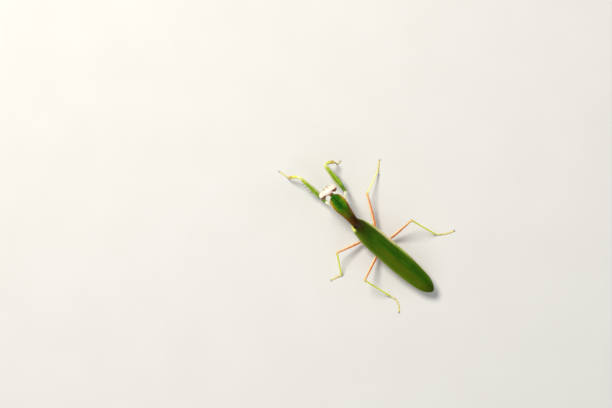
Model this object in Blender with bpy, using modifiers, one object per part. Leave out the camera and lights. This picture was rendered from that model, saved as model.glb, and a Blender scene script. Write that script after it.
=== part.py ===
"""A life-size praying mantis: a large green mantis of the Hierodula kind, adult, wings folded.

The model is still. Lengths are in metres, +Z is up, the head looks along -Y and the animal's
left side is +X. A heading is the angle in the floor plane from +X towards +Y, and a pitch is the
angle above the floor, both in degrees. The feet stand on small flats at Z = 0.
"""

import math

import bmesh
import bpy
from mathutils import Matrix, Vector

MM = 0.001

# Driving dimensions
GAP = 0.2 * MM                   # clearance between neighbouring pieces
SPINE_SIDES = 5

THORAX_REAR = Vector((0.0, 4.4, 7.7)) * MM
THORAX_FRONT = Vector((0.0, -13.2, 8.5)) * MM
THORAX_HALF_WIDTH = 2.9 * MM
THORAX_HALF_HEIGHT = 2.15 * MM
THORAX_SPLIT = 0.62              # share of the thorax that is mesothorax, from the front

PRONOTUM_LENGTH = 21.0 * MM
PRONOTUM_FRONT = Vector((-2.56, -31.0, 21.35)) * MM
PRONOTUM_HEADING = 81.6          # of the line from its front edge to its rear edge
PRONOTUM_PITCH = -30.0
PRONOTUM_HALF_WIDTH = 3.6 * MM
PRONOTUM_CROWN = 0.95 * MM       # rise of the shield's middle above its margins
PRONOTUM_RIM = 0.5 * MM
PROTHORAX_HALF_WIDTH = 1.75 * MM
PROTHORAX_DEPTH = 2.9 * MM

HEAD_CENTRE = Vector((-2.35, -33.9, 20.6)) * MM
HEAD_HEADING = -102.0
HEAD_HALF_WIDTH = 3.15 * MM      # without the eyes
HEAD_HALF_DEPTH = 1.8 * MM
HEAD_TOP = 2.9 * MM              # vertex above the head's centre
HEAD_BOTTOM = 3.3 * MM           # lower edge of the clypeus below it
EYE_RADII = Vector((1.45, 1.85, 2.15)) * MM
EYE_PLACE = Vector((3.2, 0.2, 1.15)) * MM
EYE_TILT = 16.0                  # degrees that the top of each eye leans outwards
ANTENNA_LENGTH = 21.0 * MM
ANTENNA_RADIUS = 0.25 * MM
PALP_RADIUS = 0.28 * MM
MOUTH_LENGTH = 1.35 * MM
NECK_RADIUS = 0.88 * MM

TEGMEN_BASE = -13.9 * MM         # along Y
TEGMEN_LENGTH = 50.1 * MM
TEGMEN_HALF_WIDTH = 5.45 * MM    # of the folded pair
WING_THICKNESS = 0.5 * MM
HINDWING_LENGTH = 43.0 * MM
HINDWING_SHARE = 0.84            # of the tegmen's width

ABDOMEN_FRONT = Vector((0.0, 4.7, 7.2)) * MM
ABDOMEN_REAR = Vector((0.0, 31.2, 4.9)) * MM
ABDOMEN_HALF_WIDTH = 4.3 * MM
ABDOMEN_HALF_HEIGHT = 2.1 * MM
ABDOMEN_SEGMENTS = 8
CERCUS_LENGTH = 3.6 * MM
TAIL_PLATE_LENGTH = 4.6 * MM

FORE_COXA = 11.8 * MM
FORE_FEMUR = 17.9 * MM
FORE_FEMUR_DEPTH = 3.3 * MM
FORE_FEMUR_THICKNESS = 2.0 * MM
FORE_FEMUR_BOW = 0.35 * MM
FORE_TIBIA = 8.8 * MM
FORE_TIBIA_RADIUS = 0.76 * MM
FORE_TIBIA_BOW = 0.55 * MM
FORE_CLAW = 3.0 * MM
FORE_TROCHANTER = 1.3 * MM
WALKING_TROCHANTER = 1.2 * MM
ANKLE_HEIGHT = 1.2 * MM          # of the walking legs
TARSUS_RADIUS = 0.34 * MM
FOOT_FLAT = 0.05 * MM            # depth cut off the tarsi where they meet the floor

# The raptorial legs: the coxa's root, heading and pitch of each part, the toe's place and how far
# the foot bows to its left. The walking legs are given in the same way.
FORE_LEGS = {
    "right": dict(root=(-3.75, -24.3, 16.4), coxa=(-149.1, -61.4), femur=(-99.1, 24.1),
                  tibia=(153.7, -54.5), toe=(-18.0, -39.0), bow=-1.3),
    "left": dict(root=(0.75, -25.0, 16.1), coxa=(-81.7, -58.4), femur=(-92.0, 15.9),
                 tibia=(-49.9, -51.2), toe=(5.3, -57.9), bow=0.0),
}

# The walking legs: lengths of coxa, femur, tibia and tarsus, shared by each pair
WALKING_LENGTHS = {"mid": (4.8, 15.8, 14.6, 5.6), "hind": (5.2, 19.0, 20.2, 9.3)}
WALKING_RADII = {"mid": (1.15, 0.83, 0.42), "hind": (1.25, 0.8, 0.42)}
WALKING_LEGS = {
    "mid_right": dict(root=(-2.4, -3.8, 8.0), coxa=(-144.0, -31.0), femur=(-124.4, 13.4),
                      tibia=-166.6, tarsus=-147.3, bow=0.0),
    "mid_left": dict(root=(2.4, -3.85, 8.0), coxa=(-46.0, -69.0), femur=(-25.2, 25.1),
                     tibia=53.5, tarsus=-20.0, bow=0.0),
    "hind_right": dict(root=(-2.4, 3.15, 7.6), coxa=(155.0, -68.0), femur=(174.8, 40.3),
                       tibia=102.9, tarsus=140.7, bow=-0.9),
    "hind_left": dict(root=(2.25, 3.25, 7.6), coxa=(51.0, -76.0), femur=(11.9, 37.5),
                      tibia=98.4, tarsus=70.5, bow=2.3),
}

COLOURS = {
    "leaf": (0.09, 0.20, 0.015), "olive": (0.11, 0.12, 0.012), "cream": (0.72, 0.58, 0.42),
    "brown": (0.20, 0.06, 0.02), "salmon": (0.62, 0.20, 0.08), "lime": (0.42, 0.48, 0.04),
    "pale": (0.66, 0.62, 0.30), "eye": (0.48, 0.27, 0.16), "film": (0.40, 0.34, 0.12),
    "tip": (0.34, 0.14, 0.04),
}

bpy.context.view_layer.update()
for leftover in list(bpy.data.objects):
    bpy.data.objects.remove(leftover)
parts = bpy.data.collections.new("praying_mantis")
cutters = bpy.data.collections.new("cutters")
bpy.context.scene.collection.children.link(parts)
bpy.context.scene.collection.children.link(cutters)
body_root = bpy.data.objects.new("body_root", None)
parts.objects.link(body_root)


# Small tools

def direction(heading, pitch):
    """Unit vector of a heading and a pitch in degrees."""
    h, p = math.radians(heading), math.radians(pitch)
    return Vector((math.cos(p) * math.cos(h), math.cos(p) * math.sin(h), math.sin(p)))


def millimetres(point):
    return Vector(point) * MM


def frame(origin, along, dorsal):
    """Matrix with local +X along a piece and local +Z to its dorsal side."""
    x = along.normalized()
    y = dorsal.cross(x).normalized()
    z = x.cross(y)
    return Matrix.Translation(origin) @ Matrix((x, y, z)).transposed().to_4x4()


def smooth(stations, t):
    """Value at t of a smooth curve through (place, value) stations."""
    for i in range(len(stations) - 1):
        if t <= stations[i + 1][0] or i == len(stations) - 2:
            break
    (t0, v0), (t1, v1) = stations[i], stations[i + 1]
    before = stations[max(i - 1, 0)]
    after = stations[min(i + 2, len(stations) - 1)]
    slope0 = (v1 - before[1]) / (t1 - before[0])
    slope1 = (after[1] - v0) / (after[0] - t0)
    span = t1 - t0
    u = min(max((t - t0) / span, 0.0), 1.0)
    return ((2 * u ** 3 - 3 * u ** 2 + 1) * v0 + (u ** 3 - 2 * u ** 2 + u) * span * slope0
            + (3 * u ** 2 - 2 * u ** 3) * v1 + (u ** 3 - u ** 2) * span * slope1)


def rounded(t, bluntness):
    """Share of a section's size left at t, so that both ends close like an egg's."""
    return math.sqrt(max(0.0, 1 - abs(2 * t - 1) ** bluntness))


def paint(obj, colour, roughness=0.45):
    material = bpy.data.materials.new(obj.name)
    material.use_nodes = True
    shader = material.node_tree.nodes["Principled BSDF"]
    shader.inputs["Base Color"].default_value = (*COLOURS[colour], 1)
    shader.inputs["Roughness"].default_value = roughness
    shader.inputs["Metallic"].default_value = 0.0
    obj.data.materials.append(material)


def add_mesh(name, bm, collection=parts):
    """Object from a bmesh whose faces are turned outwards and shaded smooth."""
    bmesh.ops.recalc_face_normals(bm, faces=bm.faces)
    mesh = bpy.data.meshes.new(name)
    bm.to_mesh(mesh)
    bm.free()
    mesh.shade_smooth()
    obj = bpy.data.objects.new(name, mesh)
    collection.objects.link(obj)
    if collection is cutters:
        obj.hide_render = True
        obj.display_type = "WIRE"
    else:
        obj.parent = body_root
    return obj


def loft(name, centre, section, rings, around, bluntness, squareness=2.0, collection=parts):
    """Closed body along local X: centre(t) is its spine and section(t) its half sizes.

    A section has a half width, a height above the spine and a depth below it.
    """
    bm = bmesh.new()
    loops = []
    for i in range(1, rings):
        t = (1 - math.cos(math.pi * i / rings)) / 2
        width, up, down = (size * rounded(t, bluntness) for size in section(t))
        middle = centre(t)
        loop = []
        for k in range(around):
            c = math.cos(2 * math.pi * k / around)
            s = math.sin(2 * math.pi * k / around)
            y = width * math.copysign(abs(c) ** (2 / squareness), c)
            z = (up if s > 0 else down) * math.copysign(abs(s) ** (2 / squareness), s)
            loop.append(bm.verts.new(middle + Vector((0, y, z))))
        loops.append(loop)
    ends = [bm.verts.new(centre(0)), bm.verts.new(centre(1))]
    for k in range(around):
        n = (k + 1) % around
        bm.faces.new((ends[0], loops[0][n], loops[0][k]))
        bm.faces.new((ends[1], loops[-1][k], loops[-1][n]))
        for a, b in zip(loops, loops[1:]):
            bm.faces.new((a[k], a[n], b[n], b[k]))
    return add_mesh(name, bm, collection)


def tube(name, points, radii, sides=8, collection=parts):
    """Tapered round tube through points, as a closed mesh made from a bevelled curve."""
    curve = bpy.data.curves.new(name, "CURVE")
    curve.dimensions = "3D"
    curve.bevel_depth = 1 * MM
    curve.bevel_resolution = sides // 2 - 2
    curve.use_fill_caps = True
    spline = curve.splines.new("POLY")
    spline.points.add(len(points) - 1)
    for spot, point, radius in zip(spline.points, points, radii):
        spot.co = (*point, 1)
        spot.radius = radius / MM
    guide = bpy.data.objects.new(name + "_curve", curve)
    bpy.context.scene.collection.objects.link(guide)
    evaluated = guide.evaluated_get(bpy.context.evaluated_depsgraph_get())
    mesh = bpy.data.meshes.new_from_object(evaluated)
    bpy.data.objects.remove(guide)
    bm = bmesh.new()
    bm.from_mesh(mesh)
    bpy.data.meshes.remove(mesh)
    bmesh.ops.remove_doubles(bm, verts=bm.verts, dist=0.001 * MM)
    return add_mesh(name, bm, collection)


def boolean(obj, operation, other):
    modifier = obj.modifiers.new(operation.lower(), "BOOLEAN")
    modifier.operation = operation
    modifier.solver = "EXACT"
    modifier.object = other


def spines(name, places):
    """One cutter object of separate cones: each place is (root, tip, root radius)."""
    bm = bmesh.new()
    for root, tip, radius in places:
        turn = (tip - root).to_track_quat("Z", "X").to_matrix().to_4x4()
        bmesh.ops.create_cone(
            bm, cap_ends=True, segments=SPINE_SIDES, radius1=radius, radius2=0.3 * radius,
            depth=(tip - root).length, matrix=Matrix.Translation((root + tip) / 2) @ turn)
    return add_mesh(name, bm, cutters)


def clear_of(parent_radius, radius, along_parent, along):
    """Distance from a joint at which a limb piece starts, clear of the piece before it."""
    cosine = -along_parent.dot(along)
    if cosine <= 0:
        return parent_radius + GAP
    return (parent_radius + GAP + radius * cosine) / math.sqrt(1 - cosine ** 2)


# Trunk

def thorax():
    """Mesothorax and metathorax, with sockets where the walking coxae come out."""
    run = THORAX_REAR - THORAX_FRONT
    for name, start, end in (("mesothorax", 0.0, THORAX_SPLIT), ("metathorax", THORAX_SPLIT, 1.0)):
        length = run.length * (end - start) - GAP
        widths = ((0, 0.85), (0.5, 1.0), (1, 0.95)) if start == 0 else ((0, 0.95), (0.4, 1.0), (1, 0.9))
        obj = loft(
            name, lambda t: Vector((length * t, 0, 0)),
            lambda t: (THORAX_HALF_WIDTH * smooth(widths, t), THORAX_HALF_HEIGHT * 0.82,
                       THORAX_HALF_HEIGHT * 1.1),
            rings=9, around=14, bluntness=14, squareness=2.3)
        obj.matrix_world = frame(THORAX_FRONT + run * start, run, Vector((0, 0, 1)))
        paint(obj, "lime")
        for side in ("left", "right"):
            pair = "mid" if name == "mesothorax" else "hind"
            boolean(obj, "DIFFERENCE", bpy.data.objects[f"{pair}_coxa_{side}_socket"])


def pronotum_frame():
    return frame(PRONOTUM_FRONT, direction(PRONOTUM_HEADING, PRONOTUM_PITCH), Vector((0, 0, 1)))


def pronotum():
    """The shield of the prothorax: widened over the coxae, with a low keel and thin margins."""
    widths = ((0, 0.78), (0.14, 0.9), (0.3, 1.0), (0.43, 0.93), (0.6, 0.75), (0.8, 0.627), (1, 0.642))
    for name, grow, collection in (("pronotum", 0, parts), ("pronotum_socket", GAP, cutters)):
        shield = loft(
            name, lambda t: Vector(((PRONOTUM_LENGTH + 2 * grow) * t - grow, 0, 0)),
            lambda t: (PRONOTUM_HALF_WIDTH * smooth(widths, t) + grow, PRONOTUM_CROWN + grow,
                       PRONOTUM_RIM + grow),
            rings=16, around=14, bluntness=9, collection=collection)
        shield.matrix_world = pronotum_frame()
    paint(bpy.data.objects["pronotum"], "leaf")


def prothorax():
    """The body under the shield: deep between the coxae, slim behind them."""
    length = PRONOTUM_LENGTH * 0.9
    depths = ((0, 0.6), (0.3, 1.0), (0.5, 0.87), (1, 0.75))
    widths = ((0, 0.8), (0.3, 1.0), (0.55, 0.9), (1, 1.0))
    obj = loft(
        "prothorax", lambda t: Vector((1.35 * MM + length * t, 0, -PRONOTUM_RIM)),
        lambda t: (PROTHORAX_HALF_WIDTH * smooth(widths, t), 0.45 * MM,
                   PROTHORAX_DEPTH * smooth(depths, t)),
        rings=12, around=12, bluntness=10, squareness=2.3)
    obj.matrix_world = pronotum_frame()
    paint(obj, "olive")
    for socket in ("pronotum_socket", "fore_coxa_left_socket", "fore_coxa_right_socket"):
        boolean(obj, "DIFFERENCE", bpy.data.objects[socket])


def abdomen():
    """Broad flat abdomen, its rings pinched slightly between segments."""
    run = ABDOMEN_REAR - ABDOMEN_FRONT
    widths = ((0, 0.68), (0.3, 0.95), (0.55, 1.0), (0.8, 0.84), (1, 0.5))

    def section(t):
        pinch = 1 - 0.045 * math.cos(math.pi * ABDOMEN_SEGMENTS * t) ** 8
        width = ABDOMEN_HALF_WIDTH * smooth(widths, t) * pinch
        return width, ABDOMEN_HALF_HEIGHT * 0.8, ABDOMEN_HALF_HEIGHT * 1.1 * pinch

    obj = loft("abdomen", lambda t: Vector((run.length * t, 0, 0)), section,
               rings=18, around=14, bluntness=12)
    obj.matrix_world = frame(ABDOMEN_FRONT, run, Vector((0, 0, 1)))
    paint(obj, "lime")


# Head

def head_frame():
    back = direction(HEAD_HEADING + 180, 0)
    return frame(HEAD_CENTRE, back.cross(Vector((0, 0, 1))), Vector((0, 0, 1)))


def head():
    """Triangular head, face upright: broad between the eyes and narrow at the mouth."""
    place = head_frame()
    height = HEAD_TOP + HEAD_BOTTOM
    widths = ((0, 0.26), (0.14, 0.36), (0.35, 0.58), (0.6, 0.93), (0.85, 1.0), (1, 0.95))
    depths = ((0, 0.5), (0.2, 0.72), (0.5, 0.95), (0.75, 1.0), (1, 0.8))
    upright = place @ Matrix.Translation((0, 0, -HEAD_BOTTOM)) @ Matrix.Rotation(-math.pi / 2, 4, "Y")
    skull = loft(
        "head", lambda t: Vector((height * t, 0, 0)),
        lambda t: (HEAD_HALF_DEPTH * smooth(depths, t), HEAD_HALF_WIDTH * smooth(widths, t),
                   HEAD_HALF_WIDTH * smooth(widths, t)),
        rings=12, around=16, bluntness=7)
    skull.matrix_world = upright
    paint(skull, "cream")
    for side, sign in (("left", 1), ("right", -1)):
        for name, grow, collection in ((f"eye_{side}", 0, parts), (f"eye_{side}_socket", GAP, cutters)):
            bm = bmesh.new()
            bmesh.ops.create_uvsphere(bm, u_segments=14, v_segments=8, radius=1)
            eye = add_mesh(name, bm, collection)
            radii = EYE_RADII + Vector((grow, grow, grow))
            for vertex in eye.data.vertices:
                vertex.co = Vector(a * b for a, b in zip(vertex.co, radii))
            lean = Matrix.Rotation(math.radians(EYE_TILT * sign), 4, "Y")
            spot = Vector((sign * EYE_PLACE.x, EYE_PLACE.y, EYE_PLACE.z))
            eye.matrix_world = place @ Matrix.Translation(spot) @ lean
        paint(bpy.data.objects[f"eye_{side}"], "eye", 0.15)
        boolean(skull, "DIFFERENCE", bpy.data.objects[f"eye_{side}_socket"])


def feelers():
    """The two antennae, raised in a narrow V, and the palps beside the mouth."""
    place = head_frame()
    for side, sign in (("left", 1), ("right", -1)):
        root = Vector((sign * 0.8, -2.17, 1.0)) * MM
        steps = 10
        points = []
        radii = []
        for i in range(steps + 1):
            t = i / steps
            out = Vector((sign * 0.1 * t ** 1.3, 0.22 * t * t - 0.12 * t, 0.97 * t)) * ANTENNA_LENGTH
            points.append(place @ (root + out))
            radii.append(ANTENNA_RADIUS * (1.3 if i < 2 else 1.0))
        antenna = tube(f"antenna_{side}", points, radii, sides=6)
        paint(antenna, "tip")
        palp_route = ((1.25, 0.05, -3.3), (1.6, -0.55, -3.8), (1.6, -1.2, -4.4), (1.15, -1.6, -5.0))
        palp = tube(
            f"palp_{side}", [place @ (Vector((sign * x, y, z)) * MM) for x, y, z in palp_route],
            [PALP_RADIUS * size for size in (0.96, 1.0, 1.0, 0.71)], sides=6)
        paint(palp, "pale")


def mouth():
    """Labrum and jaws as one blunt wedge under the clypeus."""
    place = head_frame()
    obj = loft(
        "mouthparts", lambda t: Vector((MOUTH_LENGTH * t, 0, 0)),
        lambda t: (0.72 * MM * (1 - 0.35 * t), 0.62 * MM * (1 - 0.2 * t), 0.62 * MM * (1 - 0.2 * t)),
        rings=6, around=10, bluntness=5)
    turn = Matrix.Rotation(math.pi / 2, 4, "Y")
    obj.matrix_world = place @ Matrix.Translation((0, 0.1 * MM, -HEAD_BOTTOM - GAP)) @ turn
    paint(obj, "pale")


def neck():
    """Soft neck between the back of the head and the front of the prothorax."""
    head_side, thorax_side = head_frame(), pronotum_frame()
    points = [head_side @ (Vector((0, y, -0.5)) * MM) for y in (2.1, 2.42)]
    points += [thorax_side @ (Vector((x, 0, -1.75)) * MM) for x in (0.75, 1.05)]
    obj = tube("neck", points, [NECK_RADIUS * size for size in (0.9, 1.0, 1.05, 1.0)], sides=10)
    paint(obj, "cream")


# Wings

def wing_half_width(y):
    """Half width of the folded tegmina at a place along Y."""
    stations = ((-13.9, 2.75), (-11.9, 3.65), (-7, 4.7), (-2.7, 5.25), (4, 5.32), (14, 5.45),
                (20, 5.15), (25, 4.75), (30, 4.1), (33, 3.1), (35, 1.9), (36.2, 0.6))
    share = smooth(stations, y / MM) / 5.45
    return TEGMEN_HALF_WIDTH * share


def wing_height(y):
    """Height of the wings' upper surface on the midline."""
    stations = ((-14.2, 12.1), (-10, 12.6), (5, 12.1), (20, 10.6), (36.2, 8.1))
    return smooth(stations, y / MM) * MM


def wing_droop(y):
    """Drop of the costal edge below the midline."""
    return smooth(((-14.2, 1.5), (-5, 2.4), (15, 2.0), (36.2, 0.3)), y / MM) * MM


def wing(name, sign, start, length, inner, outer, lower, cells, colour):
    """One wing: a grid laid over the back, given its thickness downwards.

    inner(y) and outer(y) are its edges as distances from the midline on its own side, and
    lower(y, x) is its depth below the back of the left tegmen.
    """
    across, along = cells
    bm = bmesh.new()
    bmesh.ops.create_grid(bm, x_segments=across, y_segments=along, size=0.5)
    for vertex in bm.verts:
        u, v = vertex.co.x + 0.5, vertex.co.y + 0.5
        y = start + length * (v * (1.25 - 0.25 * v))
        x = inner(y) + (outer(y) - inner(y)) * u
        z = wing_height(y) - wing_droop(y) * abs(x / wing_half_width(y)) ** 2.2 - lower(y, x)
        vertex.co = Vector((sign * x, y, z))
    obj = add_mesh(name, bm)
    up = sum(polygon.normal.z for polygon in obj.data.polygons)
    if up < 0:
        obj.data.flip_normals()
    solid = obj.modifiers.new("thickness", "SOLIDIFY")
    solid.thickness = WING_THICKNESS
    solid.offset = -1
    solid.use_even_offset = False
    paint(obj, colour, 0.4)
    return obj


def wings():
    """The left tegmen over the right one, and the two hindwings under them."""
    step = WING_THICKNESS + GAP

    def sutural_edge(y):
        stations = ((-13.9, 2.45), (-12.6, 2.2), (-11, 0.3), (-8.5, -1.1), (0, -1.2), (25, -1.2),
                    (31, -0.9), (36.2, 0.1))
        return smooth(stations, y / MM) * MM

    def under_left(y, x):
        return step * smooth(((0, 1), (0.35, 1), (1, 0)), abs(x) / wing_half_width(y))

    wing("tegmen_left", 1, TEGMEN_BASE, TEGMEN_LENGTH, sutural_edge, wing_half_width,
         lambda y, x: 0.0, (6, 20), "leaf")
    wing("tegmen_right", -1, TEGMEN_BASE, TEGMEN_LENGTH, sutural_edge, wing_half_width,
         under_left, (6, 20), "leaf")
    for side, sign in (("left", 1), ("right", -1)):
        wing(f"hindwing_{side}", sign, TEGMEN_BASE + 3 * MM, HINDWING_LENGTH,
             lambda y: GAP, lambda y: wing_half_width(y) * HINDWING_SHARE,
             lambda y, x: 2 * step + 0.1 * MM, (4, 10), "film")


# Legs

def tarsus(name, ankle, toe, shank_way, shank_radius, colour, bend, bow):
    """Five-jointed foot: it curves down from the ankle and lies along the floor to two claws.

    bend is the share of the way at which it lands, and bow its sideways curve, to the left.
    """
    radius = TARSUS_RADIUS
    rest = radius - FOOT_FLAT
    end = Vector((toe.x, toe.y, rest))
    aside = Vector((0, 0, 1)).cross(toe - ankle).normalized() * (bow * MM)
    bend_point, landing = (ankle.lerp(toe, share) + aside for share in (bend, 0.4 + 0.6 * bend))
    bend_point.z = landing.z = rest
    down = (bend_point - ankle).normalized()
    start = ankle + down * clear_of(shank_radius, radius, shank_way, down)
    lengths = (0.36, 0.19, 0.15, 0.12, 0.18)
    places = []
    begin = 0.0
    for share in lengths:
        places += [(begin + 0.02, 0.8), (begin + share - 0.025, 1.0)]
        begin += share
    places[0] = (0.0, 0.85)
    places[-1] = (1.0, 0.75)
    points = []
    for t, _ in places:
        points.append(start * (1 - t) ** 3 + bend_point * 3 * t * (1 - t) ** 2
                      + landing * 3 * t * t * (1 - t) + end * t ** 3)
    foot = tube(name, points, [radius * size for _, size in places])
    along = (end - landing).normalized()
    side = along.cross(Vector((0, 0, 1)))
    claws = []
    for sign in (1, -1):
        root = end + side * (0.12 * MM * sign) - along * (0.2 * MM)
        tip = end + along * (0.75 * MM) + side * (0.45 * MM * sign) - Vector((0, 0, rest - 0.1 * MM))
        claws.append((root, tip, 0.15 * MM))
    for claw in claws:
        boolean(foot, "UNION", spines(f"{name}_claw_{len(foot.modifiers)}", [claw]))
    boolean(foot, "DIFFERENCE", floor_cutter)
    paint(foot, colour)


def raptorial_leg(side, pose):
    """Coxa, trochanter, spined femur and tibia with its claw, and tarsus of one fore leg."""
    root = millimetres(pose["root"])
    coxa_way = direction(*pose["coxa"])
    femur_way = direction(*pose["femur"])
    tibia_way = direction(*pose["tibia"])
    hip = root + coxa_way * FORE_COXA
    knee = hip + femur_way * FORE_FEMUR
    ankle = knee + tibia_way * FORE_TIBIA
    ventral = (tibia_way - femur_way * tibia_way.dot(femur_way)).normalized()

    # The coxa: a long three-edged shaft, thick at its root
    for label, grow, collection in (("", 0, parts), ("_socket", GAP, cutters)):
        coxa = loft(
            f"fore_coxa_{side}{label}",
            lambda t: Vector((-grow + (FORE_COXA + 0.3 * MM + 2 * grow) * t, 0, 0)),
            lambda t: [size * smooth(((0, 1.0), (0.25, 1.12), (0.8, 0.8), (1, 0.62)), t) + grow
                       for size in (0.95 * MM, 1.0 * MM, 1.25 * MM)],
            rings=9, around=8, bluntness=8, collection=collection)
        coxa.matrix_world = frame(root, coxa_way, -femur_way)
    paint(bpy.data.objects[f"fore_coxa_{side}"], "pale")

    # The trochanter: a short collar in line with the femur
    start = clear_of(0.75 * MM, 0.95 * MM, coxa_way, femur_way)
    trochanter = loft(
        f"fore_trochanter_{side}", lambda t: Vector((start + FORE_TROCHANTER * t, 0, 0)),
        lambda t: [size * (0.85 + 0.3 * t) for size in (0.85 * MM, 0.95 * MM, 1.1 * MM)],
        rings=6, around=8, bluntness=6)
    trochanter.matrix_world = frame(hip, femur_way, -ventral)
    paint(trochanter, "pale")

    # The femur: deep and flat-sided, with spines in two rows along its lower edge
    first = start + FORE_TROCHANTER + GAP
    length = FORE_FEMUR + 0.25 * MM - first
    depths = ((0, 0.78), (0.2, 0.97), (0.4, 1.0), (0.7, 0.72), (0.93, 0.5), (1, 0.48))
    thick = ((0, 0.85), (0.35, 1.0), (0.7, 0.78), (1, 0.72))

    def femur_size(t):
        depth = FORE_FEMUR_DEPTH * smooth(depths, t)
        return FORE_FEMUR_THICKNESS / 2 * smooth(thick, t), depth * 0.45, depth * 0.55

    femur = loft(
        f"fore_femur_{side}",
        lambda t: Vector((first + length * t, 0, FORE_FEMUR_BOW * math.sin(math.pi * t))),
        femur_size, rings=12, around=10, bluntness=16, squareness=2.2)
    femur.matrix_world = frame(hip, femur_way, -ventral)
    paint(femur, "leaf")
    teeth = []
    for row, count, reach in ((-1, 6, 1.25), (1, 4, 1.7)):
        for i in range(count):
            t = 0.22 + 0.6 * (i + 0.5) / count
            width, up, down = femur_size(t)
            base = Vector((first + length * t, row * width * 0.45, FORE_FEMUR_BOW - down * 0.7))
            drop = Vector((0.25 * MM, row * 0.35 * MM, -down * 0.3 - reach * MM * (1 - 0.3 * t)))
            teeth.append((femur.matrix_world @ base, femur.matrix_world @ (base + drop), 0.24 * MM))
    boolean(femur, "UNION", spines(f"fore_femur_{side}_spines", teeth))

    # The tibia: curved, a comb of spines along its inner edge, ending in a long claw
    start = clear_of(0.6 * MM, FORE_TIBIA_RADIUS, femur_way, tibia_way)
    points = []
    radii = []
    for i in range(8):
        t = i / 7
        along = start + (FORE_TIBIA - start) * t
        points.append(Vector((along, 0, FORE_TIBIA_BOW * math.sin(math.pi * t))))
        radii.append(FORE_TIBIA_RADIUS * (1 - 0.22 * t))
    inward = -(femur_way - tibia_way * tibia_way.dot(femur_way)).normalized()
    place = frame(knee, tibia_way, -inward)
    tibia = tube(f"fore_tibia_{side}", [place @ point for point in points], radii)
    paint(tibia, "pale")
    teeth = []
    for i in range(7):
        t = (i + 0.7) / 7.4
        base = Vector((start + (FORE_TIBIA - start) * t, 0, 0.1 * MM))
        reach = Vector((0.35 * MM, 0, -(0.95 + 0.5 * t) * MM))
        teeth.append((place @ base, place @ (base + reach), 0.2 * MM))
    boolean(tibia, "UNION", spines(f"fore_tibia_{side}_spines", teeth))
    hook_root = Vector((FORE_TIBIA - 1.0 * MM, 0, -0.1 * MM))
    hook_tip = hook_root + Vector((0.75, 0, -0.85)) * FORE_CLAW
    claw = [(place @ hook_root, place @ hook_tip, 0.42 * MM)]
    boolean(tibia, "UNION", spines(f"fore_tibia_{side}_claw", claw))

    toe = Vector((pose["toe"][0] * MM, pose["toe"][1] * MM, 0))
    tarsus(f"fore_tarsus_{side}", ankle, toe, tibia_way, 0.5 * MM, "pale", 0.25, pose["bow"])


def walking_leg(name, pose):
    """Coxa, trochanter, slim femur and tibia, and tarsus of one walking leg."""
    pair, side = name.split("_")
    coxa_length, femur_length, tibia_length, tarsus_length = (v * MM for v in WALKING_LENGTHS[pair])
    coxa_radius, femur_radius, tibia_radius = (v * MM for v in WALKING_RADII[pair])
    coxa_way = direction(*pose["coxa"])
    femur_way = direction(*pose["femur"])
    root = millimetres(pose["root"])
    hip = root + coxa_way * coxa_length
    knee = hip + femur_way * femur_length
    drop = math.degrees(math.asin((knee.z - ANKLE_HEIGHT) / tibia_length))
    tibia_way = direction(pose["tibia"], -drop)
    ankle = knee + tibia_way * tibia_length
    toe = ankle + direction(pose["tarsus"], 0) * tarsus_length

    # The coxa: a short cone that stands in a socket of the thorax
    for label, grow, collection in (("", 0, parts), ("_socket", GAP, cutters)):
        stations = ((0, 0.9), (0.3, 1.0), (0.75, 0.78), (1, 0.66))
        end = coxa_length - femur_radius * 0.4
        points = [root + coxa_way * (t * end + (2 * t - 1) * grow) for t, _ in stations]
        coxa = tube(f"{pair}_coxa_{side}{label}", points,
                    [coxa_radius * size + grow for _, size in stations], collection=collection)
        if collection is parts:
            paint(coxa, "lime")

    # The trochanter: a small knuckle between the coxa and the femur
    start = clear_of(coxa_radius * 0.66, femur_radius, coxa_way, femur_way)
    places = [hip + femur_way * (start + WALKING_TROCHANTER * t) for t in (0, 0.5, 1)]
    trochanter = tube(f"{pair}_trochanter_{side}", places,
                      [femur_radius * size for size in (0.85, 1.12, 1.0)])
    paint(trochanter, "salmon")

    # The femur: nearly straight, slimmer towards the knee and swollen at it
    first = start + WALKING_TROCHANTER + GAP
    run = knee - hip
    sideways = Vector((0, 0, 1)).cross(femur_way).normalized()
    bow = femur_way.cross(sideways) * -0.35 * MM
    points = []
    radii = []
    girth = ((0, 0.95), (0.12, 1.05), (0.35, 1.0), (0.6, 0.86), (0.85, 0.7), (0.95, 0.82), (1, 0.7))
    for t, size in girth:
        share = first / run.length + (1 - first / run.length) * t
        points.append(hip + run * share + bow * math.sin(math.pi * share))
        radii.append(femur_radius * size)
    femur = tube(f"{pair}_femur_{side}", points, radii)
    paint(femur, "salmon")

    # The tibia: a thin rod, a little thicker at both ends, with a pair of spurs at the ankle
    start = clear_of(femur_radius * 0.82, tibia_radius, femur_way, tibia_way)
    points = []
    radii = []
    for t, size in ((0, 1.1), (0.06, 1.15), (0.25, 0.95), (0.6, 0.9), (0.9, 0.95), (1, 1.1)):
        distance = start + (tibia_length - start) * t
        points.append(knee + tibia_way * distance)
        radii.append(tibia_radius * size)
    tibia = tube(f"{pair}_tibia_{side}", points, radii)
    paint(tibia, "lime")
    across = tibia_way.cross(Vector((0, 0, 1))).normalized()
    for sign in (1, -1):
        base = ankle - tibia_way * (1.2 * MM) + across * (0.1 * MM * sign)
        tip = base + tibia_way * (0.85 * MM) + across * (0.55 * MM * sign)
        boolean(tibia, "UNION", spines(f"{pair}_tibia_{side}_spur_{len(tibia.modifiers)}",
                                       [(base, tip, 0.16 * MM)]))

    tarsus(f"{pair}_tarsus_{side}", ankle, toe, tibia_way, tibia_radius, "lime", 0.35, pose["bow"])


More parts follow.
